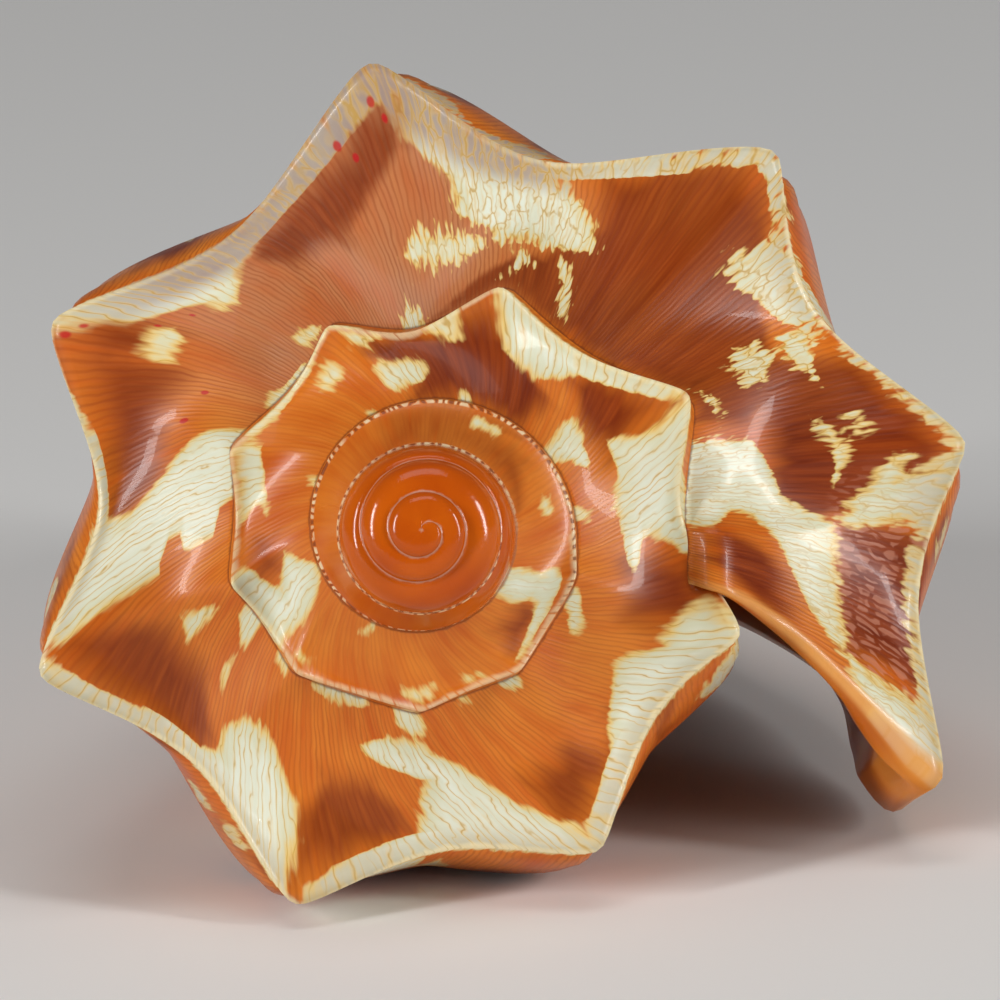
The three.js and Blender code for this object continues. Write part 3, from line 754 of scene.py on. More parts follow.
def spread(start, end, steps, power=1.0):
    """Rows from start to end: start + (end - start) times evenly spaced shares to a power."""
    share = (np.arange(1, steps + 1) / steps) ** power
    return start[:, None] + (end - start)[:, None] * share


def round_spread(start, end, steps):
    """Rows from start to end, spaced as the cosine of an even turn."""
    share = (1 - np.cos(np.pi * np.arange(1, steps + 1) / steps)) / 2
    return start[:, None] + (end - start)[:, None] * share


class Rows:
    """Rows of a set of columns, in stretches that end on the joins between the surfaces."""

    def __init__(self, columns, ramp_steps=RAMP_STEPS):
        join = join_of_column(columns)
        crest = np.where(join > 1, 1, join - CREST_BEFORE)
        roof = join + ROOF_LEAST + ROOF_RISES * np.where(columns > INNER, 1, mouth_bend(columns))
        upper_flank = np.maximum(1, roof + KNEE)
        start = np.zeros_like(columns)
        floor = np.full_like(columns, FLOOR_ROW)
        end = np.full_like(columns, 2.0)
        self.outside = np.hstack([
            start[:, None], spread(start, crest, ramp_steps), spread(crest, join, HEM_STEPS),
        ])
        self.buried = round_spread(join, roof, RIM_STEPS)
        self.mouth = np.hstack([
            spread(roof, upper_flank, KNEE_STEPS), spread(upper_flank, floor, FLANK_STEPS, FLANK_SPACING),
        ])
        self.front = round_spread(floor, end, RIM_STEPS)
        self.whole = np.hstack([self.outside, self.buried, self.mouth, self.front])
        self.pillar = np.hstack([self.buried[:, -1:], self.mouth])


class Sheet:
    """Grid of points, one column to a line, with the turn angle, row and side of each point."""

    def __init__(self, angle, row, points, inside):
        self.points = points
        self.angle = angle
        self.row = row
        self.inside = np.broadcast_to(np.asarray(inside, dtype=float), row.shape)


def skin(columns, rows, inside=0.0):
    """Outer surface of the shell at some columns and rows."""
    angle = column_angle(columns[:, None], rows)
    return Sheet(angle, rows, place(angle, *section(angle, rows, 1)), inside)


def inner_wall(columns):
    """Inner face of the wall: the outer one with lower spines, moved in and down by the wall's thickness.

    It starts on the pillar at the roof of the mouth and ends on it at the floor."""
    pillar = skin(columns - TURN, Rows(columns - TURN).pillar)
    roof, floor = pillar.points[:, :1], pillar.points[:, -1:]
    start = suture(column_angle(columns, np.zeros_like(columns)))[0]
    roof_radius = np.hypot(roof[:, 0, 0], roof[:, 0, 1])
    roof_share = (roof_radius - start) / (hollow_radius(columns) - start)
    roof_share = np.clip(roof_share, 0, ROOF_SHARE_MOST)[:, None]
    row = Rows(columns).whole
    inner = np.where(row < 1, roof_share + (1 - roof_share) * row, 1 + (row - 1) * (FLOOR_ROW - 1))
    angle = column_angle(columns[:, None], inner)
    radius, height = section(angle, inner, INNER_SPINES)
    thickened = over(THICKENS_BEFORE_LIP, columns - LIP)[:, None] * over(THICKENS_ROWS, inner)
    wall = WALL + (LIP_WALL - WALL) * thickened
    inward = wall * (INWARD_LEAST + (1 - INWARD_LEAST) * over(INWARD_ROWS, inner))
    downward = wall * (1 - over(DOWNWARD_ROWS, inner))
    points = place(angle, radius - inward, height - downward)
    to_wall = over(ROOF_ROWS, row)[:, :, None]
    to_floor = over(FLOOR_ROWS, row)[:, :, None]
    points = roof * (1 - to_wall) + points * to_wall
    points = points * (1 - to_floor) + floor * to_floor
    return Sheet(angle, inner, points, 1.0)


def lip_rim(body, inside):
    """Rounded edge of the lip, from the outer face's last column to the inner face's: half circles whose
    crests lean to the outer face."""
    outer, inner = body.points[-1], inside.points[0]
    middle, half = (outer + inner) / 2, (outer - inner) / 2
    forward = np.stack([middle[:, 1], -middle[:, 0], np.zeros(len(middle))], axis=-1)
    least_length = 1e-9
    length = np.maximum(np.linalg.norm(forward, axis=-1, keepdims=True), least_length)
    forward = forward / length * np.linalg.norm(half, axis=-1, keepdims=True)
    row = body.row[-1]
    near_end = (over(RIM_STARTS, row) * over(RIM_ENDS, 2 - row))[:, None]
    mouth_column = np.array([INNER])
    ends = Rows(mouth_column)
    roof = skin(mouth_column, ends.buried).points[0]
    front = skin(mouth_column, ends.front).points[0]
    columns = []
    for step in range(1, RIM_STEPS):
        turn = math.pi * step / RIM_STEPS
        crest = math.sin(turn) * (RIM_CREST + RIM_LEAN * math.cos(turn))
        points = middle + half * math.cos(turn) + forward * crest * near_end
        points[0] = roof[step - 1]
        points[-1] = front[RIM_STEPS - 1 - step]
        columns.append(points)
    shape = (RIM_STEPS - 1, len(outer))
    angle = np.broadcast_to(body.angle[-1], shape)
    inward = np.broadcast_to((np.arange(1, RIM_STEPS) / RIM_STEPS)[:, None], shape)
    return Sheet(angle, np.broadcast_to(row, shape), np.array(columns), inward)


def cavity_columns():
    """Columns of the cavity from the lip back into the spire, wider apart where they can't be seen."""
    steps = [LIP]
    step = COLUMN_STEP
    while steps[-1] - step > LIP - CAVITY_SPAN:
        steps.append(steps[-1] - step)
        step = min(step * STEP_GROWTH, WIDEST_STEP)
    steps.append(LIP - CAVITY_SPAN)
    return np.array(steps)


class ShellMesh:
    """Triangles between neighbouring columns of the sheets, with what each corner carries."""

    def __init__(self):
        self.points = []
        self.carried = []
        self.triangles = []
        self.count = 0

    def add(self, sheet):
        """Take a sheet in, and give the numbers of its points."""
        columns, rows = sheet.row.shape
        self.points.append(sheet.points.reshape(-1, 3))
        self.carried.append(np.stack([sheet.angle, sheet.row, sheet.inside], axis=-1).reshape(-1, 3))
        numbers = self.count + np.arange(columns * rows).reshape(columns, rows)
        self.count += columns * rows
        return numbers

    def fill(self, numbers):
        """Two triangles in each cell of a sheet."""
        a, b = numbers[:-1, :-1].ravel(), numbers[:-1, 1:].ravel()
        c, d = numbers[1:, 1:].ravel(), numbers[1:, :-1].ravel()
        self.triangles.append(np.stack([a, d, b], axis=-1))
        self.triangles.append(np.stack([b, d, c], axis=-1))

    def zip(self, left, right):
        """Triangles between two columns that have different numbers of points."""
        i, k = 0, 0
        made = []
        while i < len(left) - 1 or k < len(right) - 1:
            if (i + 1) / (len(left) - 1) <= (k + 1) / (len(right) - 1):
                made.append((left[i], right[k], left[i + 1]))
                i += 1
            else:
                made.append((left[i], right[k], right[k + 1]))
                k += 1
        self.triangles.append(np.array(made))

    def joined(self):
        """All points, what they carry, and all triangles."""
        return np.vstack(self.points), np.vstack(self.carried), np.vstack(self.triangles)


def add_spire(mesh):
    """Turns before the mouth: the smooth early ones with fewer rows, closed on the tip, then the others."""
    count = int((INNER - BIRTH) / COLUMN_STEP)
    spire = INNER - COLUMN_STEP * np.arange(count, -1, -1)
    early = spire[spire < FINE_FROM]
    later = spire[len(early):]
    early_numbers = mesh.add(skin(early, Rows(early, EARLY_RAMP_STEPS).outside))
    later_numbers = mesh.add(skin(later, Rows(later).outside))
    tip = Sheet(np.full((1, 2), early[0]), np.zeros((1, 2)), np.zeros((1, 2, 3)), 0.0)
    mesh.zip(mesh.add(tip)[0], early_numbers[0])
    mesh.fill(early_numbers)
    mesh.zip(early_numbers[-1], later_numbers[0])
    mesh.fill(later_numbers)


def shell_surface():
    """All sheets of the shell in the growth frame: spire, last turn, lip, cavity and pillar."""
    mesh = ShellMesh()
    add_spire(mesh)
    last_turn = INNER + COLUMN_STEP * np.arange(int(round(TURN / COLUMN_STEP)) + 1)
    body = skin(last_turn, Rows(last_turn).whole)
    cavity = cavity_columns()
    inside = inner_wall(cavity)
    before = cavity[::-1] - TURN
    body_numbers = mesh.add(body)
    rim_numbers = mesh.add(lip_rim(body, inside))
    inside_numbers = mesh.add(inside)
    pillar_numbers = mesh.add(skin(before, Rows(before).pillar, 1.0))
    mesh.fill(np.vstack([body_numbers, rim_numbers, inside_numbers]))
    mesh.zip(inside_numbers[-1], pillar_numbers[0])
    mesh.fill(pillar_numbers)
    return mesh.joined()


def lie_down():
    """Turn from the growth frame to the frame of the part: the spire to -Y, then roll and pitch."""
    upright = Matrix.Rotation(math.radians(90), 3, "X")
    rolled = Matrix.Rotation(math.radians(ROLL), 3, "Y")
    pitched = Matrix.Rotation(math.radians(-PITCH), 3, "X")
    return pitched @ rolled @ upright


def closed_mesh(name, points, triangles, corner_maps):
    """Weld points that meet, drop triangles that shrink to a line, and keep what each corner carries."""
    near = np.round(points / WELD).astype(np.int64)
    _, first, welded = np.unique(near, axis=0, return_index=True, return_inverse=True)
    corners = welded.reshape(-1)[triangles]
    a, b, c = corners.T
    whole = (a != b) & (b != c) & (c != a)
    corners, sources = corners[whole], triangles[whole]
    mesh = bpy.data.meshes.new(name)
    mesh.from_pydata(points[first].tolist(), [], corners.tolist())
    for map_name, values in corner_maps.items():
        add_map(mesh, map_name, *values[sources.ravel()].T)
    mesh.polygons.foreach_set("use_smooth", np.ones(len(corners), dtype=bool))
    mesh.update()
    return mesh


def notch_cutter(shift):
    """Rod with an elliptic section along Y of the growth frame, its middle on the front tip."""
    around = np.linspace(0, 2 * np.pi, NOTCH_SIDES, endpoint=False)
    x = NOTCH_MIDDLE + NOTCH_HALF_WIDTH * np.cos(around)
    z = FRONT_TIP + NOTCH_DEPTH * np.sin(around)
    rings = [np.stack([x, np.full_like(x, y), z], axis=-1) for y in (-NOTCH_REACH, NOTCH_REACH)]
    points = lying(np.vstack(rings)) + shift
    near = np.arange(NOTCH_SIDES)
    after = np.roll(near, -1)
    sides = np.stack([near, after, after + NOTCH_SIDES, near + NOTCH_SIDES], axis=-1)
    faces = sides[:, ::-1].tolist() + [near.tolist(), (near[::-1] + NOTCH_SIDES).tolist()]
    cutter_mesh = bpy.data.meshes.new("notch_cutter")
    cutter_mesh.from_pydata(points.tolist(), [], faces)
    corners = np.ones(len(cutter_mesh.loops))
    add_map(cutter_mesh, "growth", corners * NOTCH_GROWTH[0], corners * NOTCH_GROWTH[1])
    add_map(cutter_mesh, "parts", corners, corners)
    cutter = bpy.data.objects.new("notch_cutter", cutter_mesh)
    bpy.context.scene.collection.objects.link(cutter)
    return cutter


def cut_notch(piece, cutter):
    """Cut the notch out of the shell, and make the cut part of its mesh."""
    boolean = piece.modifiers.new("notch", "BOOLEAN")
    boolean.operation = "DIFFERENCE"
    boolean.solver = "MANIFOLD"
    boolean.object = cutter
    ready = piece.evaluated_get(bpy.context.evaluated_depsgraph_get())
    cut = bpy.data.meshes.new_from_object(ready)
    piece.modifiers.clear()
    piece.data = cut
    bpy.data.objects.remove(cutter)
    return cut


def lying(points):
    """Points of the growth frame, in millimetres, turned to lie down and in metres."""
    return points @ np.array(lie_down()).T * MILLIMETRE


def unturned(points, shift):
    """Points of the lying shell in millimetres of the growth frame."""
    return (points - shift) / MILLIMETRE @ np.array(lie_down())


def from_notch(points, shift):
    """Distance of points from the side of the notch's ellipse, about in millimetres, below 0 inside it:
    what the ellipse's equation has past 1, over how fast it rises there."""
    grown = unturned(points, shift)
    sideways = (grown[:, 0] - NOTCH_MIDDLE) / NOTCH_HALF_WIDTH
    upward = (grown[:, 2] - FRONT_TIP) / NOTCH_DEPTH
    reach = np.hypot(sideways, upward)
    least_reach, least_slope = 0.1, 0.01
    slope = np.hypot(sideways / NOTCH_HALF_WIDTH, upward / NOTCH_DEPTH) / np.maximum(reach, least_reach)
    return (reach - 1) / np.maximum(slope, least_slope)


def even_notch(mesh, shift):
    """Make the triangles beside the notch alike: join points that nearly meet, and halve long edges."""
    shaped = bmesh.new()
    shaped.from_mesh(mesh)
    where = from_notch(np.array([v.co for v in shaped.verts]), shift)
    beside = [v for v, away in zip(shaped.verts, where) if abs(away) < EVEN_WITHIN]
    bmesh.ops.remove_doubles(shaped, verts=beside, dist=EVEN_SHORTEST * MILLIMETRE)
    beside = {v for v in beside if v.is_valid}
    for _ in range(EVEN_PASSES):
        chosen = [
            edge for edge in shaped.edges
            if edge.verts[0] in beside and edge.verts[1] in beside
            and edge.calc_length() > EVEN_LONGEST * MILLIMETRE
        ]
        made = bmesh.ops.subdivide_edges(shaped, edges=chosen, cuts=1)
        beside.update(part for part in made["geom_inner"] if isinstance(part, bmesh.types.BMVert))
        bmesh.ops.triangulate(shaped, faces=[face for face in shaped.faces if len(face.verts) > 3])
    shaped.to_mesh(mesh)
    shaped.free()


def mesh_points(mesh):
    """The points of a mesh as an array."""
    flat = np.empty(len(mesh.vertices) * 3)
    mesh.vertices.foreach_get("co", flat)
    return flat.reshape(-1, 3)


def round_notch(mesh, shift):
    """Round the notch's edge: each point near it moves towards its neighbours' mean, time after time."""
    count = len(mesh.vertices)
    points = mesh_points(mesh)
    ends = np.empty(len(mesh.edges) * 2, dtype=np.int64)
    mesh.edges.foreach_get("vertices", ends)
    ends = ends.reshape(-1, 2)
    weight = ROUND_PACE * bell(from_notch(points, shift) / ROUND_WITHIN)[:, None]
    degree = np.bincount(ends.ravel(), minlength=count)[:, None]
    for _ in range(ROUND_PASSES):
        total = np.zeros_like(points)
        for axis in range(3):
            total[:, axis] = np.bincount(ends[:, 0], points[ends[:, 1], axis], count)
            total[:, axis] += np.bincount(ends[:, 1], points[ends[:, 0], axis], count)
        points = points + weight * (total / degree - points)
    mesh.vertices.foreach_set("co", points.ravel())
    mesh.update()


def corner_values(mesh, name):
    """What each corner of a mesh carries in one of its maps."""
    values = np.empty(len(mesh.loops) * 2)
    mesh.uv_layers[name].data.foreach_get("uv", values)
    return values.reshape(-1, 2)


def corner_places(mesh, values):
    """For each corner of a mesh, the value of its point."""
    point = np.empty(len(mesh.loops), dtype=np.int64)
    mesh.loops.foreach_get("vertex_index", point)
    return values[point]


def add_map(mesh, name, first, second):
    """Store two values for each corner of a mesh."""
    layer = mesh.uv_layers.new(name=name)
    layer.data.foreach_set("uv", np.stack([first, second], axis=-1).astype(np.float32).ravel())


def growth_line(angle, row):
    """Turn angle at which the growth line through a point meets the shoulder."""
    on_ramp = angle - through(RAMP_SLANT, angle) * np.clip(1 - row, 0, 1)
    share = np.clip(row - 1, 0, 1)
    return on_ramp - lean(share) - LEAN_DOWN_FLANK * share


def run_of_shoulder(angle):
    """Length of the shoulder's spiral from the birth of the shell to an angle, in millimetres."""
    past_lip = 80
    steps = np.arange(BIRTH, LIP + past_lip)
    lengths = np.concatenate([[0], np.cumsum(degree_length(steps[:-1]))])
    return np.interp(angle, steps, lengths)


def degree_length(angle):
    """Length of one degree of turn along the shoulder, in millimetres."""
    return np.radians(1) * hollow_radius(angle)


def ramp_length(angle):
    """Width of the ramp from the suture to the shoulder, in millimetres."""
    suture_radius, suture_height = suture(angle)
    return np.hypot(hollow_radius(angle) - suture_radius, shoulder_height(angle) - suture_height)


def sheet_place(angle, row):
    """Where a point of the ramp lies in the map of the markings: millimetres along and across."""
    at = np.array([angle], dtype=float)
    along = run_of_shoulder(growth_line(at, row))
    return float(along[0]), float(row * ramp_length(at)[0])


class PaintPlace:
    """Where the corners of the mesh lie in the growth of the shell."""

    def __init__(self, mesh):
        growth = corner_values(mesh, "growth")
        self.angle, self.row = growth[:, 0] * TURN, growth[:, 1]
        self.line = growth_line(self.angle, self.row)
        self.ramp_width = ramp_length(self.angle)
        self.flank_length = shoulder_height(self.angle) - FRONT_TIP
        self.degree_length = degree_length(self.angle)
        self.across = self.down_to(self.row)

    def down_to(self, row):
        """Millimetres from the suture down to a row."""
        return self.ramp_width * np.minimum(row, 1) + self.flank_length * np.maximum(row - 1, 0)

    def patch_depth(self, patches):
        """How far each corner lies inside the nearest patch, in millimetres, and below 0 outside.

        A patch is a list of rows, each with the growth lines where the patch begins and ends there. The
        depth is the least of the distances to its two sides, to its first row and to its last row."""
        deepest = np.full(self.row.shape, -FAR_AWAY)
        for patch in patches:
            rows, starts, ends = np.array(patch, dtype=float).T
            start, end = np.interp(self.row, rows, starts), np.interp(self.row, rows, ends)
            sideways = np.minimum(self.line - start, end - self.line) * self.degree_length
            first, last = self.down_to(rows[0]), self.down_to(rows[-1])
            lengthways = np.minimum(self.across - first, last - self.across)
            deepest = np.maximum(deepest, np.minimum(sideways, lengthways))
        return deepest


def paint_maps(mesh, shift):
    """Work out where the markings lie, and store it on the corners of the mesh."""
    at = PaintPlace(mesh)
    places = mesh_points(mesh)
    grown = corner_places(mesh, unturned(places, shift))
    ridge_radius, ridge_height = section(at.angle, 1, 1)
    beside = np.hypot(grown[:, 0], grown[:, 1]) - ridge_radius
    to_ridge = np.copysign(np.hypot(beside, grown[:, 2] - ridge_height), at.row - 1)
    from_lip = (LIP + through(LIP_EDGE, at.row) - at.angle) * at.degree_length
    add_map(mesh, "sheet", run_of_shoulder(at.line), at.across)
    add_map(mesh, "patches", at.patch_depth(CREAM_PATCHES), at.patch_depth(DEEP_PATCHES))
    add_map(mesh, "edges", at.row * at.ramp_width, to_ridge)
    add_map(mesh, "mouth", from_lip, corner_places(mesh, from_notch(places, shift)))


class Wire:
    """Output of a node. Arithmetic on it adds Math nodes to its material."""

    def __init__(self, paint, socket):
        self.paint = paint
        self.socket = socket

    def math(self, operation, first, second=0.0):
        """Math node on two values."""
        return self.paint.node("ShaderNodeMath", {"operation": operation}, {0: first, 1: second})

    def __add__(self, other):
        return self.math("ADD", self, other)

    def __radd__(self, other):
        return self.math("ADD", other, self)

    def __sub__(self, other):
        return self.math("SUBTRACT", self, other)

    def __rsub__(self, other):
        return self.math("SUBTRACT", other, self)

    def __mul__(self, other):
        return self.math("MULTIPLY", self, other)

    def __truediv__(self, other):
        return self.math("DIVIDE", self, other)

    def __abs__(self):
        return self.math("ABSOLUTE", self)

    def fraction(self):
        """What is left over after the whole number."""
        return self.math("FRACT", self)

    def most(self, other):
        """The greater of two values."""
        return self.math("MAXIMUM", self, other)

    def least(self, other):
        """The smaller of two values."""
        return self.math("MINIMUM", self, other)


class Paint:
    """A material's nodes, made one by one."""

    def __init__(self, name):
        self.material = bpy.data.materials.new(name)
        self.material.use_nodes = True
        self.tree = self.material.node_tree
        self.shader = self.tree.nodes["Principled BSDF"].inputs

    def node(self, kind, settings=None, sockets=None, output=0):
        """Add a node: its settings first, then the values or links of its sockets."""
        made = self.tree.nodes.new(kind)
        for name, value in (settings or {}).items():
            setattr(made, name, value)
        for name, value in (sockets or {}).items():
            self.feed(made.inputs[name], value)
        return Wire(self, made.outputs[output])

    def feed(self, socket, value):
        """Link a wire to a socket, or set the socket's own value."""
        if isinstance(value, Wire):
            self.tree.links.new(value.socket, socket)
        else:
            socket.default_value = value

    def carried(self, name):
        """The two values that the corners carry in a map."""
        both = self.node("ShaderNodeUVMap", {"uv_map": name})
        return [self.node("ShaderNodeSeparateXYZ", None, {0: both}, axis) for axis in (0, 1)]

    def vector(self, x, y):
        """Flat vector of two values."""
        return self.node("ShaderNodeCombineXYZ", None, {0: x, 1: y})

    def rise(self, value, low, high):
        """Rise from 0 to 1 between two values, level at both ends."""
        settings = {"interpolation_type": "SMOOTHSTEP", "clamp": True}
        return self.node("ShaderNodeMapRange", settings, {"Value": value, "From Min": low, "From Max": high})

    def near(self, distance, full, none):
        """Fall from 1 at a full distance to 0 at another, level at both ends."""
        return 1 - self.rise(distance, full, none)

    def fade(self, share, first, second):
        """Value between two others."""
        return first * (1 - share) + second * share

    def mix(self, share, under, over_it):
        """Colour or wire of colour between two others."""
        settings = {"data_type": "RGBA", "clamp_factor": True}
        return self.node("ShaderNodeMix", settings, {0: share, 6: under, 7: over_it}, 2)


class ShellPaint(Paint):
    """Glossy shell: orange ramp with growth lines, netted cream patches, beaded sutures, orange mouth."""

    def __init__(self):
        super().__init__("glazed_shell")
        turns, self.row = self.carried("growth")
        self.turn = turns * TURN
        self.inside = self.carried("parts")[0]
        self.along, self.across = self.carried("sheet")
        self.here = self.vector(self.along, self.across)
        self.cream_depth, self.deep_depth = self.carried("patches")
        self.from_suture, self.to_ridge = self.carried("edges")
        self.from_lip, self.from_cut = self.carried("mouth")
        self.on_flank = self.rise(self.to_ridge, *ONTO_FLANK)
        self.at_tip = self.rise(self.row, *TIP_ROWS)
        self.grains = {
            "broad": self.grain(BROAD), "streaks": self.grain(STREAKS), "fine": self.grain(FINE_STREAKS),
        }
        self.wave = self.grain(WAVES) * WAVE_REACH
        self.zigzag = self.grain(ZIGZAG) * ZIGZAG_REACH
        # Painted sheen: where part of the last turn's ramp is painted hazy, as by a broad reflection
        self.sheen = self.during(SHEEN_BEGINS, SHEEN_ENDS) * (1 - self.on_flank)
        self.netted = self.rise(self.turn, *NET_BEGINS) * (1 - self.rise(self.turn, *NET_THINS) * NET_THINNED)
        self.net = self.cells()
        self.phase = self.along / LINE_GAP + self.wave
        self.drawn = self.rise(self.turn, *LINES_BEGIN) * (1 - self.at_tip)

    def grain(self, pattern):
        """Flat noise around 0, about between -1 and 1, stretched to a grain's length and width."""
        stretch = (1 / pattern.length, 1 / pattern.width, 0.0)
        moved = (*pattern.moved, 0.0)
        settings = {"operation": "MULTIPLY_ADD"}
        spot = self.node("ShaderNodeVectorMath", settings, {0: self.here, 1: stretch, 2: moved})
        sockets = {"Vector": spot, "Scale": 1.0, "Detail": pattern.layers, "Roughness": pattern.roughness}
        return (self.node("ShaderNodeTexNoise", {"noise_dimensions": "2D"}, sockets) - 0.5) * GRAIN_STRENGTH

    def cells(self):
        """Distance to the nearest edge of the net's irregular cells, as a share of their size."""
        x = self.along / NET_LENGTH + self.wave * NET_BENDS[0]
        y = self.across / NET_WIDTH + self.zigzag * NET_BENDS[1]
        settings = {"voronoi_dimensions": "2D", "feature": "DISTANCE_TO_EDGE"}
        sockets = {"Vector": self.vector(x, y), "Scale": 1.0, "Randomness": NET_RANDOMNESS}
        return self.node("ShaderNodeTexVoronoi", settings, sockets)

    def stirred(self, level=0.0, **weights):
        """A level plus some of the grains, each by its weight."""
        total = level
        for name, weight in weights.items():
            total = self.grains[name] * weight + total
        return total

    def during(self, begins, ends):
        """1 from the turn angles where something begins to those where it ends, and 0 elsewhere."""
        return self.rise(self.turn, *begins) * (1 - self.rise(self.turn, *ends))

    def grows(self, early, begins, gain):
        """A strength on the early turns that gains some more over a span of turn angles."""
        return self.rise(self.turn, *begins) * gain + early

    def from_line(self, phase):
        """Distance from the nearest line of a phase, as a share of the gap between lines."""
        return abs(phase.fraction() - 0.5)

    def deep_share(self):
        """How much red-brown: in its places on the ramp, and in streaky bands on the flank."""
        depth = self.deep_depth + self.stirred(broad=0.9, streaks=1.1, fine=0.3)
        softened = self.during(DEEP_SOFTENS, DEEP_HARDENS) * DEEP_SOFTENED
        on_ramp = self.rise(depth, *INTO_DEEP) * (DEEP_COVERS - softened)
        bands = 0.0
        for middle in FLANK_BANDS:
            bands = self.near(abs(self.row - middle), *FLANK_BAND_EDGE) + bands
        patchy = self.grain(FLANK_DEEP) + bands * BANDS_GATHER + self.stirred(streaks=0.2)
        share = self.fade(self.on_flank, on_ramp, self.rise(patchy, *FLANK_TONES))
        return share * self.grows(DEEP_ON_EARLY_TURNS, DEEP_BEGINS, 1 - DEEP_ON_EARLY_TURNS)

    def ground(self):
        """Streaky orange, red-brown in its places, and hazy and pinkish on part of the last turn, where a
        sheen of reflected light is painted.
        """
        tone = self.rise(self.stirred(broad=0.6, streaks=0.4, fine=0.2), *TONES)
        orange = self.mix(tone, ORANGE_DEEP, ORANGE_LIGHT)
        # Painted sheen: the orange turns hazy and pinkish
        orange = self.mix(self.sheen * self.stirred(0.52, broad=0.3, streaks=0.15), orange, SHEEN_ORANGE)
        dark_tone = self.rise(self.stirred(streaks=0.7, fine=0.5), *DARK_TONES)
        ground = self.mix(self.deep_share(), orange, self.mix(dark_tone, RED_BROWN, CHESTNUT))
        return self.mix(self.at_tip * TIP_COVERS, ground, TIP_ORANGE)

    def growth_lines(self, ground):
        """Wavy brown growth lines over the ground, fainter on the early turns."""
        line = self.near(self.from_line(self.phase + self.zigzag * LINE_ZIGZAG), *LINE_SHARE)
        darker = self.grows(LINES_ON_EARLY_TURNS, LINES_DARKEN, LINES_GAIN[0])
        darker = self.grows(darker, LINES_DARKEN_AGAIN, LINES_GAIN[1])
        weight = self.stirred(0.52, streaks=0.4) * darker * LINES_COVER
        return self.mix(line * self.drawn * weight, ground, LINE_BROWN)

    def patch_depth(self):
        """Depth inside a cream patch in millimetres, its edge fringed by the lines and ragged by the net."""
        swelling = self.grain(FLANK_CREAM) * FLANK_CREAM_SWELLS + self.stirred(-1.8, streaks=0.8)
        fringe = self.grain(FRINGE) * FRINGE_REACH + self.zigzag
        fringe = fringe * (1 + self.netted * FRINGE_IN_NET)
        depth = self.fade(self.on_flank, self.cream_depth, swelling.most(self.cream_depth)) + fringe
        cell = (self.net.least(CELL_MOST) - CELL_MIDDLE) * CELL_REACH
        return depth + cell * self.netted * self.near(abs(depth), *NET_RAGS)

    def threads(self, white):
        """Ochre threads with yellow halos in the cream. A net takes over where the last turn widens."""
        bent = self.along / THREAD_GAP + self.wave * THREAD_BENDS[0] + self.zigzag * THREAD_BENDS[1]
        away = self.from_line(bent)
        drawn = self.near(away, *THREAD_SHARE) * (1 - self.netted * THREADS_LEFT_BY_NET)
        drawn = drawn.most(self.near(self.net, *NET_LINE) * self.netted)
        halo = self.near(away, *THREAD_HALO).most(self.near(self.net, *NET_HALO) * self.netted)
        weight = self.rise(self.stirred(streaks=1.0, fine=0.6), *THREAD_TONES)
        weight = weight * self.grows(THREADS_ON_EARLY_TURNS, THREADS_BEGIN, 1 - THREADS_ON_EARLY_TURNS)
        white = self.mix((halo * HALO_COVERS + self.stirred(0.04, broad=0.08)) * weight, white, YELLOW)
        return self.mix(drawn * THREADS_COVER * weight, white, OCHRE)

    def cream(self, depth):
        """Cream patches, whiter in the middle, with yellow rims, greyer near the shoulder's edge, and
        grey-mauve on part of the last turn, where shade is painted.
        """
        # Painted shade: the cream turns grey-mauve on part of the last turn, and greys less near the
        # shoulder's edge
        greyed = self.during(SHADE_BEGINS, SHADE_ENDS) * self.rise(self.row, *SHADE_ROWS)
        at_edge = self.rise(self.turn, *EDGE_GREYING_BEGINS) * self.rise(self.row, *EDGE_GREYING_ROWS)
        greyed = greyed.most(at_edge * EDGE_GREYED)
        white = self.mix(self.rise(depth, *INTO_WHITE) * self.stirred(0.7, streaks=0.4), CREAM, WHITE)
        white = self.mix(greyed * self.stirred(0.9, broad=0.3), white, GREY_MAUVE)
        white = self.mix(self.near(depth, *RIM_WIDTH) * (RIM_COVERS - greyed * RIM_GREYED), white, YELLOW)
        return self.threads(white)

    def ridge(self, surface):
        """Pale edge of the shoulder with brown ticks."""
        from_edge = abs(self.to_ridge + RIDGE_INSET) - self.stirred(0.28, streaks=0.16)
        begun = self.grows(0.0, RIDGE_BEGINS, RIDGE_ON_EARLY_TURNS)
        begun = self.grows(begun, RIDGE_BRIGHTENS, 1 - RIDGE_ON_EARLY_TURNS)
        between_ticks = 1 - self.rise(self.grains["fine"], *TICK_TONES) * TICKS_COVER
        share = self.near(from_edge, *RIDGE_EDGE) * begun * between_ticks
        # Under the painted sheen the pale edge covers less
        return self.mix(share * (RIDGE_COVERS - self.sheen * RIDGE_UNDER_SHEEN), surface, RIDGE_PALE)

    def patched(self, ground):
        """Ground with cream patches and the shoulder's edge, and pale cells in the dark beside the lip."""
        depth = self.patch_depth()
        # Under the painted sheen the cream patches' edges blur more
        blurred = self.sheen * self.rise(self.row, *SHEEN_ROWS)
        outer = blurred * CREAM_BLURS[0] + INTO_CREAM[0]
        inner = blurred * CREAM_BLURS[1] + INTO_CREAM[1]
        share = self.rise(depth, outer, inner) * (1 - self.at_tip)
        surface = self.ridge(self.mix(share, ground, self.cream(depth)))
        beside_lip = self.rise(self.turn, *LIP_CELLS_BEGIN) * self.rise(self.row, *LIP_CELL_ROWS)
        cells = beside_lip * (1 - self.on_flank) * self.rise(self.net, *NET_CELL) * (1 - share)
        return self.mix(cells * LIP_CELLS_COVER, surface, MAUVE)

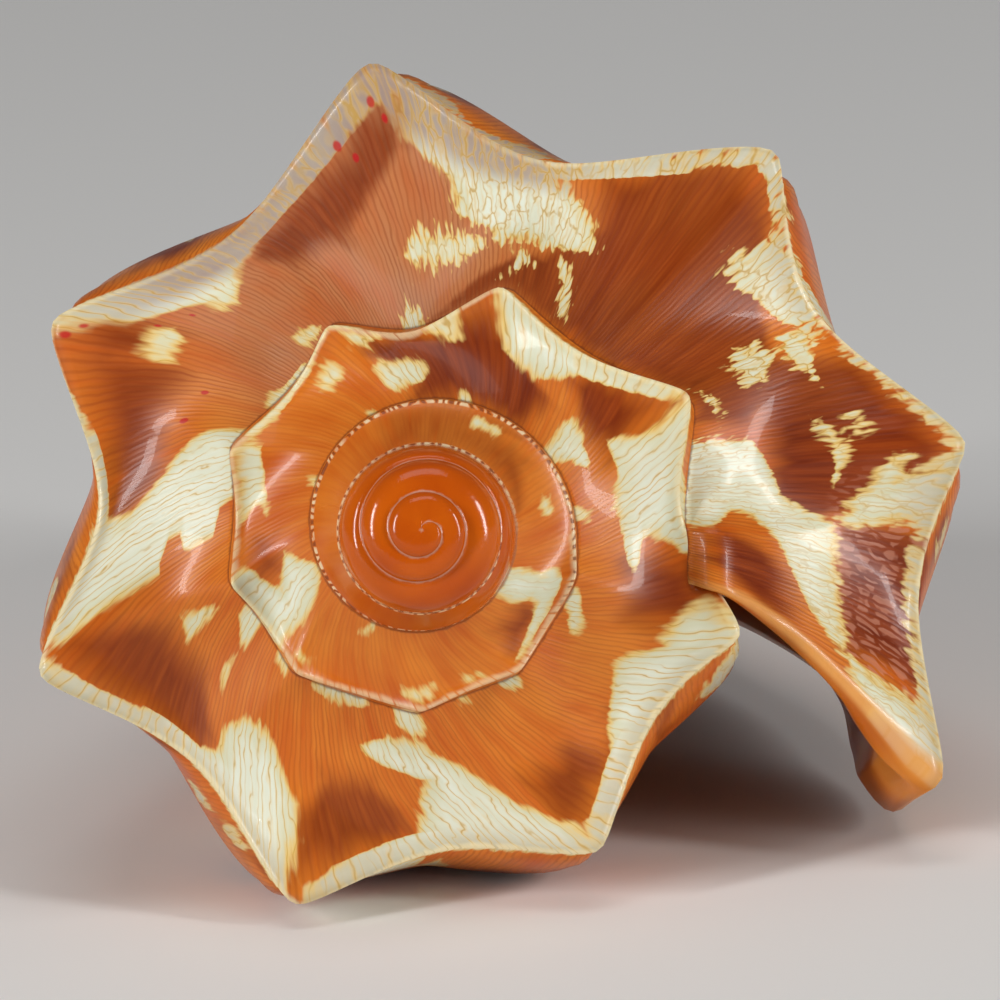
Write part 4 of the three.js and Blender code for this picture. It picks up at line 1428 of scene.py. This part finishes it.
    def suture_line(self, surface):
        """Fine line along the suture, pink on the early turns and later dark brown with painted shade of the
        groove, of varying width.
        """
        width = self.stirred(0.1, streaks=0.08)
        full, none = 0.4, 2.5
        line = self.near(self.from_suture, width * full, width * none) * (1 - self.on_flank)
        # Later the line is brown with painted shade of the groove
        tone = self.mix(self.rise(self.turn, *SUTURE_DARKENS), SUTURE_PINK, SUTURE_BROWN_SHADE)
        return self.mix(line * SUTURE_COVERS, surface, tone)

    def beads(self, surface):
        """Pale and dark beads along the shoulder of the spire's turns, and larger ones along a suture."""
        beside_suture = self.near(abs(self.from_suture - SUTURE_BEAD_MIDDLE), *SUTURE_BEAD_EDGE)
        at_suture = self.during(SUTURE_BEADS_BEGIN, SUTURE_BEADS_END) * beside_suture * (1 - self.on_flank)
        small = (self.along / BEAD_GAP + self.wave * BEAD_WAVE).fraction()
        large = (self.along / SUTURE_BEAD_GAP + self.wave).fraction()
        away = abs(self.fade(at_suture, small, large) - 0.5)
        at_edge = self.near(abs(self.to_ridge + RIDGE_INSET), *BEAD_EDGE)
        zone = (at_edge * self.during(BEADS_BEGIN, BEADS_END)).most(at_suture)
        pale = self.near(away - self.stirred(streaks=0.08), *PALE_BEAD)
        dark = self.rise(away - self.stirred(streaks=0.06), *DARK_BEAD)
        uneven = self.rise(self.stirred(broad=0.6, streaks=1.0), *BEAD_TONES)
        least, gain = PALE_BEADS_COVER
        surface = self.mix(zone * pale * (uneven * gain + least), surface, BEAD_PALE)
        return self.mix(zone * dark * DARK_BEADS_COVER, surface, BEAD_DARK)

    def specks(self, surface):
        """Small crimson specks."""
        nearest = FAR_AWAY
        for angle, row, radius in SPECKS:
            middle = (*sheet_place(angle, row), 0.0)
            sockets = {0: self.here, 1: middle}
            away = self.node("ShaderNodeVectorMath", {"operation": "DISTANCE"}, sockets, 1)
            nearest = (away - radius).least(nearest)
        spot = self.near(nearest + self.stirred(streaks=0.12), *SPECK_EDGE)
        return self.mix(spot * SPECKS_COVER, surface, CRIMSON)

    def mouth(self):
        """Smooth orange of the mouth, with a paler band along the rim."""
        tone = self.rise(self.stirred(broad=1.0, streaks=0.4), *TONES)
        smooth = self.mix(tone, MOUTH_DEEP, MOUTH_LIGHT)
        pale = self.mix(self.stirred(0.35, streaks=0.5), LIP_PALE, smooth)
        return self.mix(self.rise(self.inside, *LIP_PALE_RIM), pale, smooth)

    def finish(self):
        """Lay the colours over each other, and set the gloss and the fine relief."""
        grown = self.rise(self.turn, *PAINT_BEGINS)
        young = self.mix(self.rise(self.grains["broad"], *TONES), YOUNG_DEEP, YOUNG_LIGHT)
        surface = self.mix(grown, young, self.patched(self.growth_lines(self.ground())))
        surface = self.specks(self.beads(self.suture_line(surface)))
        lip_band = self.near(self.from_lip + self.stirred(streaks=0.4), *LIP_EDGE_WIDTH) * LIP_BAND_COVERS
        cut_band = self.near(self.from_cut, *CUT_EDGE_WIDTH)
        plain = self.rise(self.inside, *INSIDE_RIM).most(lip_band).most(cut_band)
        self.feed(self.shader["Base Color"], self.mix(plain, surface, self.mouth()))
        rougher = grown * self.stirred(GROWN_ROUGHNESS, streaks=0.04)
        self.feed(self.shader["Roughness"], rougher + YOUNG_ROUGHNESS)
        self.shader["Specular IOR Level"].default_value = REFLECTION
        self.shader["Coat Weight"].default_value = COAT
        self.shader["Coat Roughness"].default_value = COAT_ROUGHNESS
        striae = self.from_line(self.phase) * self.drawn * LINE_RELIEF
        height = (striae + self.stirred(streaks=0.3, fine=0.2)) * (1 - self.at_tip)
        bump = {"Strength": RELIEF_STRENGTH, "Distance": RELIEF_DEPTH, "Height": height * (1 - plain)}
        self.feed(self.shader["Normal"], self.node("ShaderNodeBump", None, bump))
        return self.material


def volute_shell():
    """The shell in its place: sized and placed in the solid's box, notched and painted. Gives its shift."""
    points, carried, triangles = shell_surface()
    turned = lying(points)
    low, high = turned.min(axis=0), turned.max(axis=0)
    cad_low, cad_high = np.array(cad_box[0]), np.array(cad_box[1])
    shift = (cad_low + cad_high) / 2 - (low + high) / 2
    shift[2] = cad_low[2] - low[2]
    angle, row, inside = carried.T
    # A map holds two values, so the side is there twice
    maps = {
        "growth": np.stack([angle / TURN, row], axis=-1),
        "parts": np.stack([inside, inside], axis=-1),
    }
    shell_mesh = closed_mesh("volute_shell", turned + shift, triangles, maps)
    volute = bpy.data.objects.new("volute_shell", shell_mesh)
    bpy.context.scene.collection.objects.link(volute)
    mesh = cut_notch(volute, notch_cutter(shift))
    even_notch(mesh, shift)
    round_notch(mesh, shift)
    paint_maps(mesh, shift)
    mesh.materials.clear()
    mesh.materials.append(ShellPaint().finish())
    mesh.polygons.foreach_set("material_index", np.zeros(len(mesh.polygons), dtype=np.int32))
    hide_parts("shell")
    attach(volute, "root")
    return shift


def spire_camera(shift):
    """Camera straight down the spire, as the photograph."""
    camera_data = bpy.data.cameras.new("camera")
    camera = bpy.data.objects.new("camera", camera_data)
    bpy.context.scene.collection.objects.link(camera)
    camera_data.sensor_width = SENSOR
    camera_data.lens = SENSOR * (CAMERA_HEIGHT + SHOULDER_DEPTH) / (PHOTO_SIZE * PIXEL)
    camera_data.clip_end = SIGHT
    across = (PHOTO_SIZE / 2 - APEX_PIXEL[0]) * PIXEL
    up = (APEX_PIXEL[1] - PHOTO_SIZE / 2) * PIXEL
    turn = lie_down()
    eye = turn @ Vector((across, up, CAMERA_HEIGHT)) * MILLIMETRE + Vector(shift)
    camera.matrix_world = Matrix.Translation(eye) @ turn.to_4x4()
    bpy.context.scene.camera = camera


def studio_floor():
    """Pale plain floor under the shell."""
    reach = FLOOR_REACH
    corners = [(-reach, -reach, 0), (reach, -reach, 0), (reach, reach, 0), (-reach, reach, 0)]
    floor_mesh = bpy.data.meshes.new("floor")
    floor_mesh.from_pydata(corners, [], [(0, 1, 2, 3)])
    floor = bpy.data.objects.new("floor", floor_mesh)
    bpy.context.scene.collection.objects.link(floor)
    paint = Paint("pale_floor")
    paint.shader["Base Color"].default_value = FLOOR_PALE
    paint.shader["Roughness"].default_value = FLOOR_ROUGHNESS
    floor_mesh.materials.append(paint.material)


def soft_light(name, direction, distance, width, height, power):
    """Soft box that faces the shell, from a direction of the growth frame."""
    lamp_data = bpy.data.lights.new(name, "AREA")
    lamp_data.energy = power
    lamp_data.shape = "RECTANGLE"
    lamp_data.size = width
    lamp_data.size_y = height
    lamp = bpy.data.objects.new(name, lamp_data)
    lamp.location = SHELL_MIDDLE + (lie_down() @ Vector(direction)).normalized() * distance
    lamp.rotation_euler = (SHELL_MIDDLE - lamp.location).to_track_quat("-Z", "Y").to_euler()
    bpy.context.scene.collection.objects.link(lamp)


def studio():
    """Floor, grey surroundings and soft lights."""
    studio_floor()
    world = bpy.data.worlds.new("studio")
    bpy.context.scene.world = world
    world.use_nodes = True
    world.node_tree.nodes["Background"].inputs["Color"].default_value = STUDIO_GREY
    for name, light in SOFT_LIGHTS.items():
        soft_light(name, *light)
    bpy.context.scene.view_settings.view_transform = "Standard"


spire_camera(volute_shell())
studio()
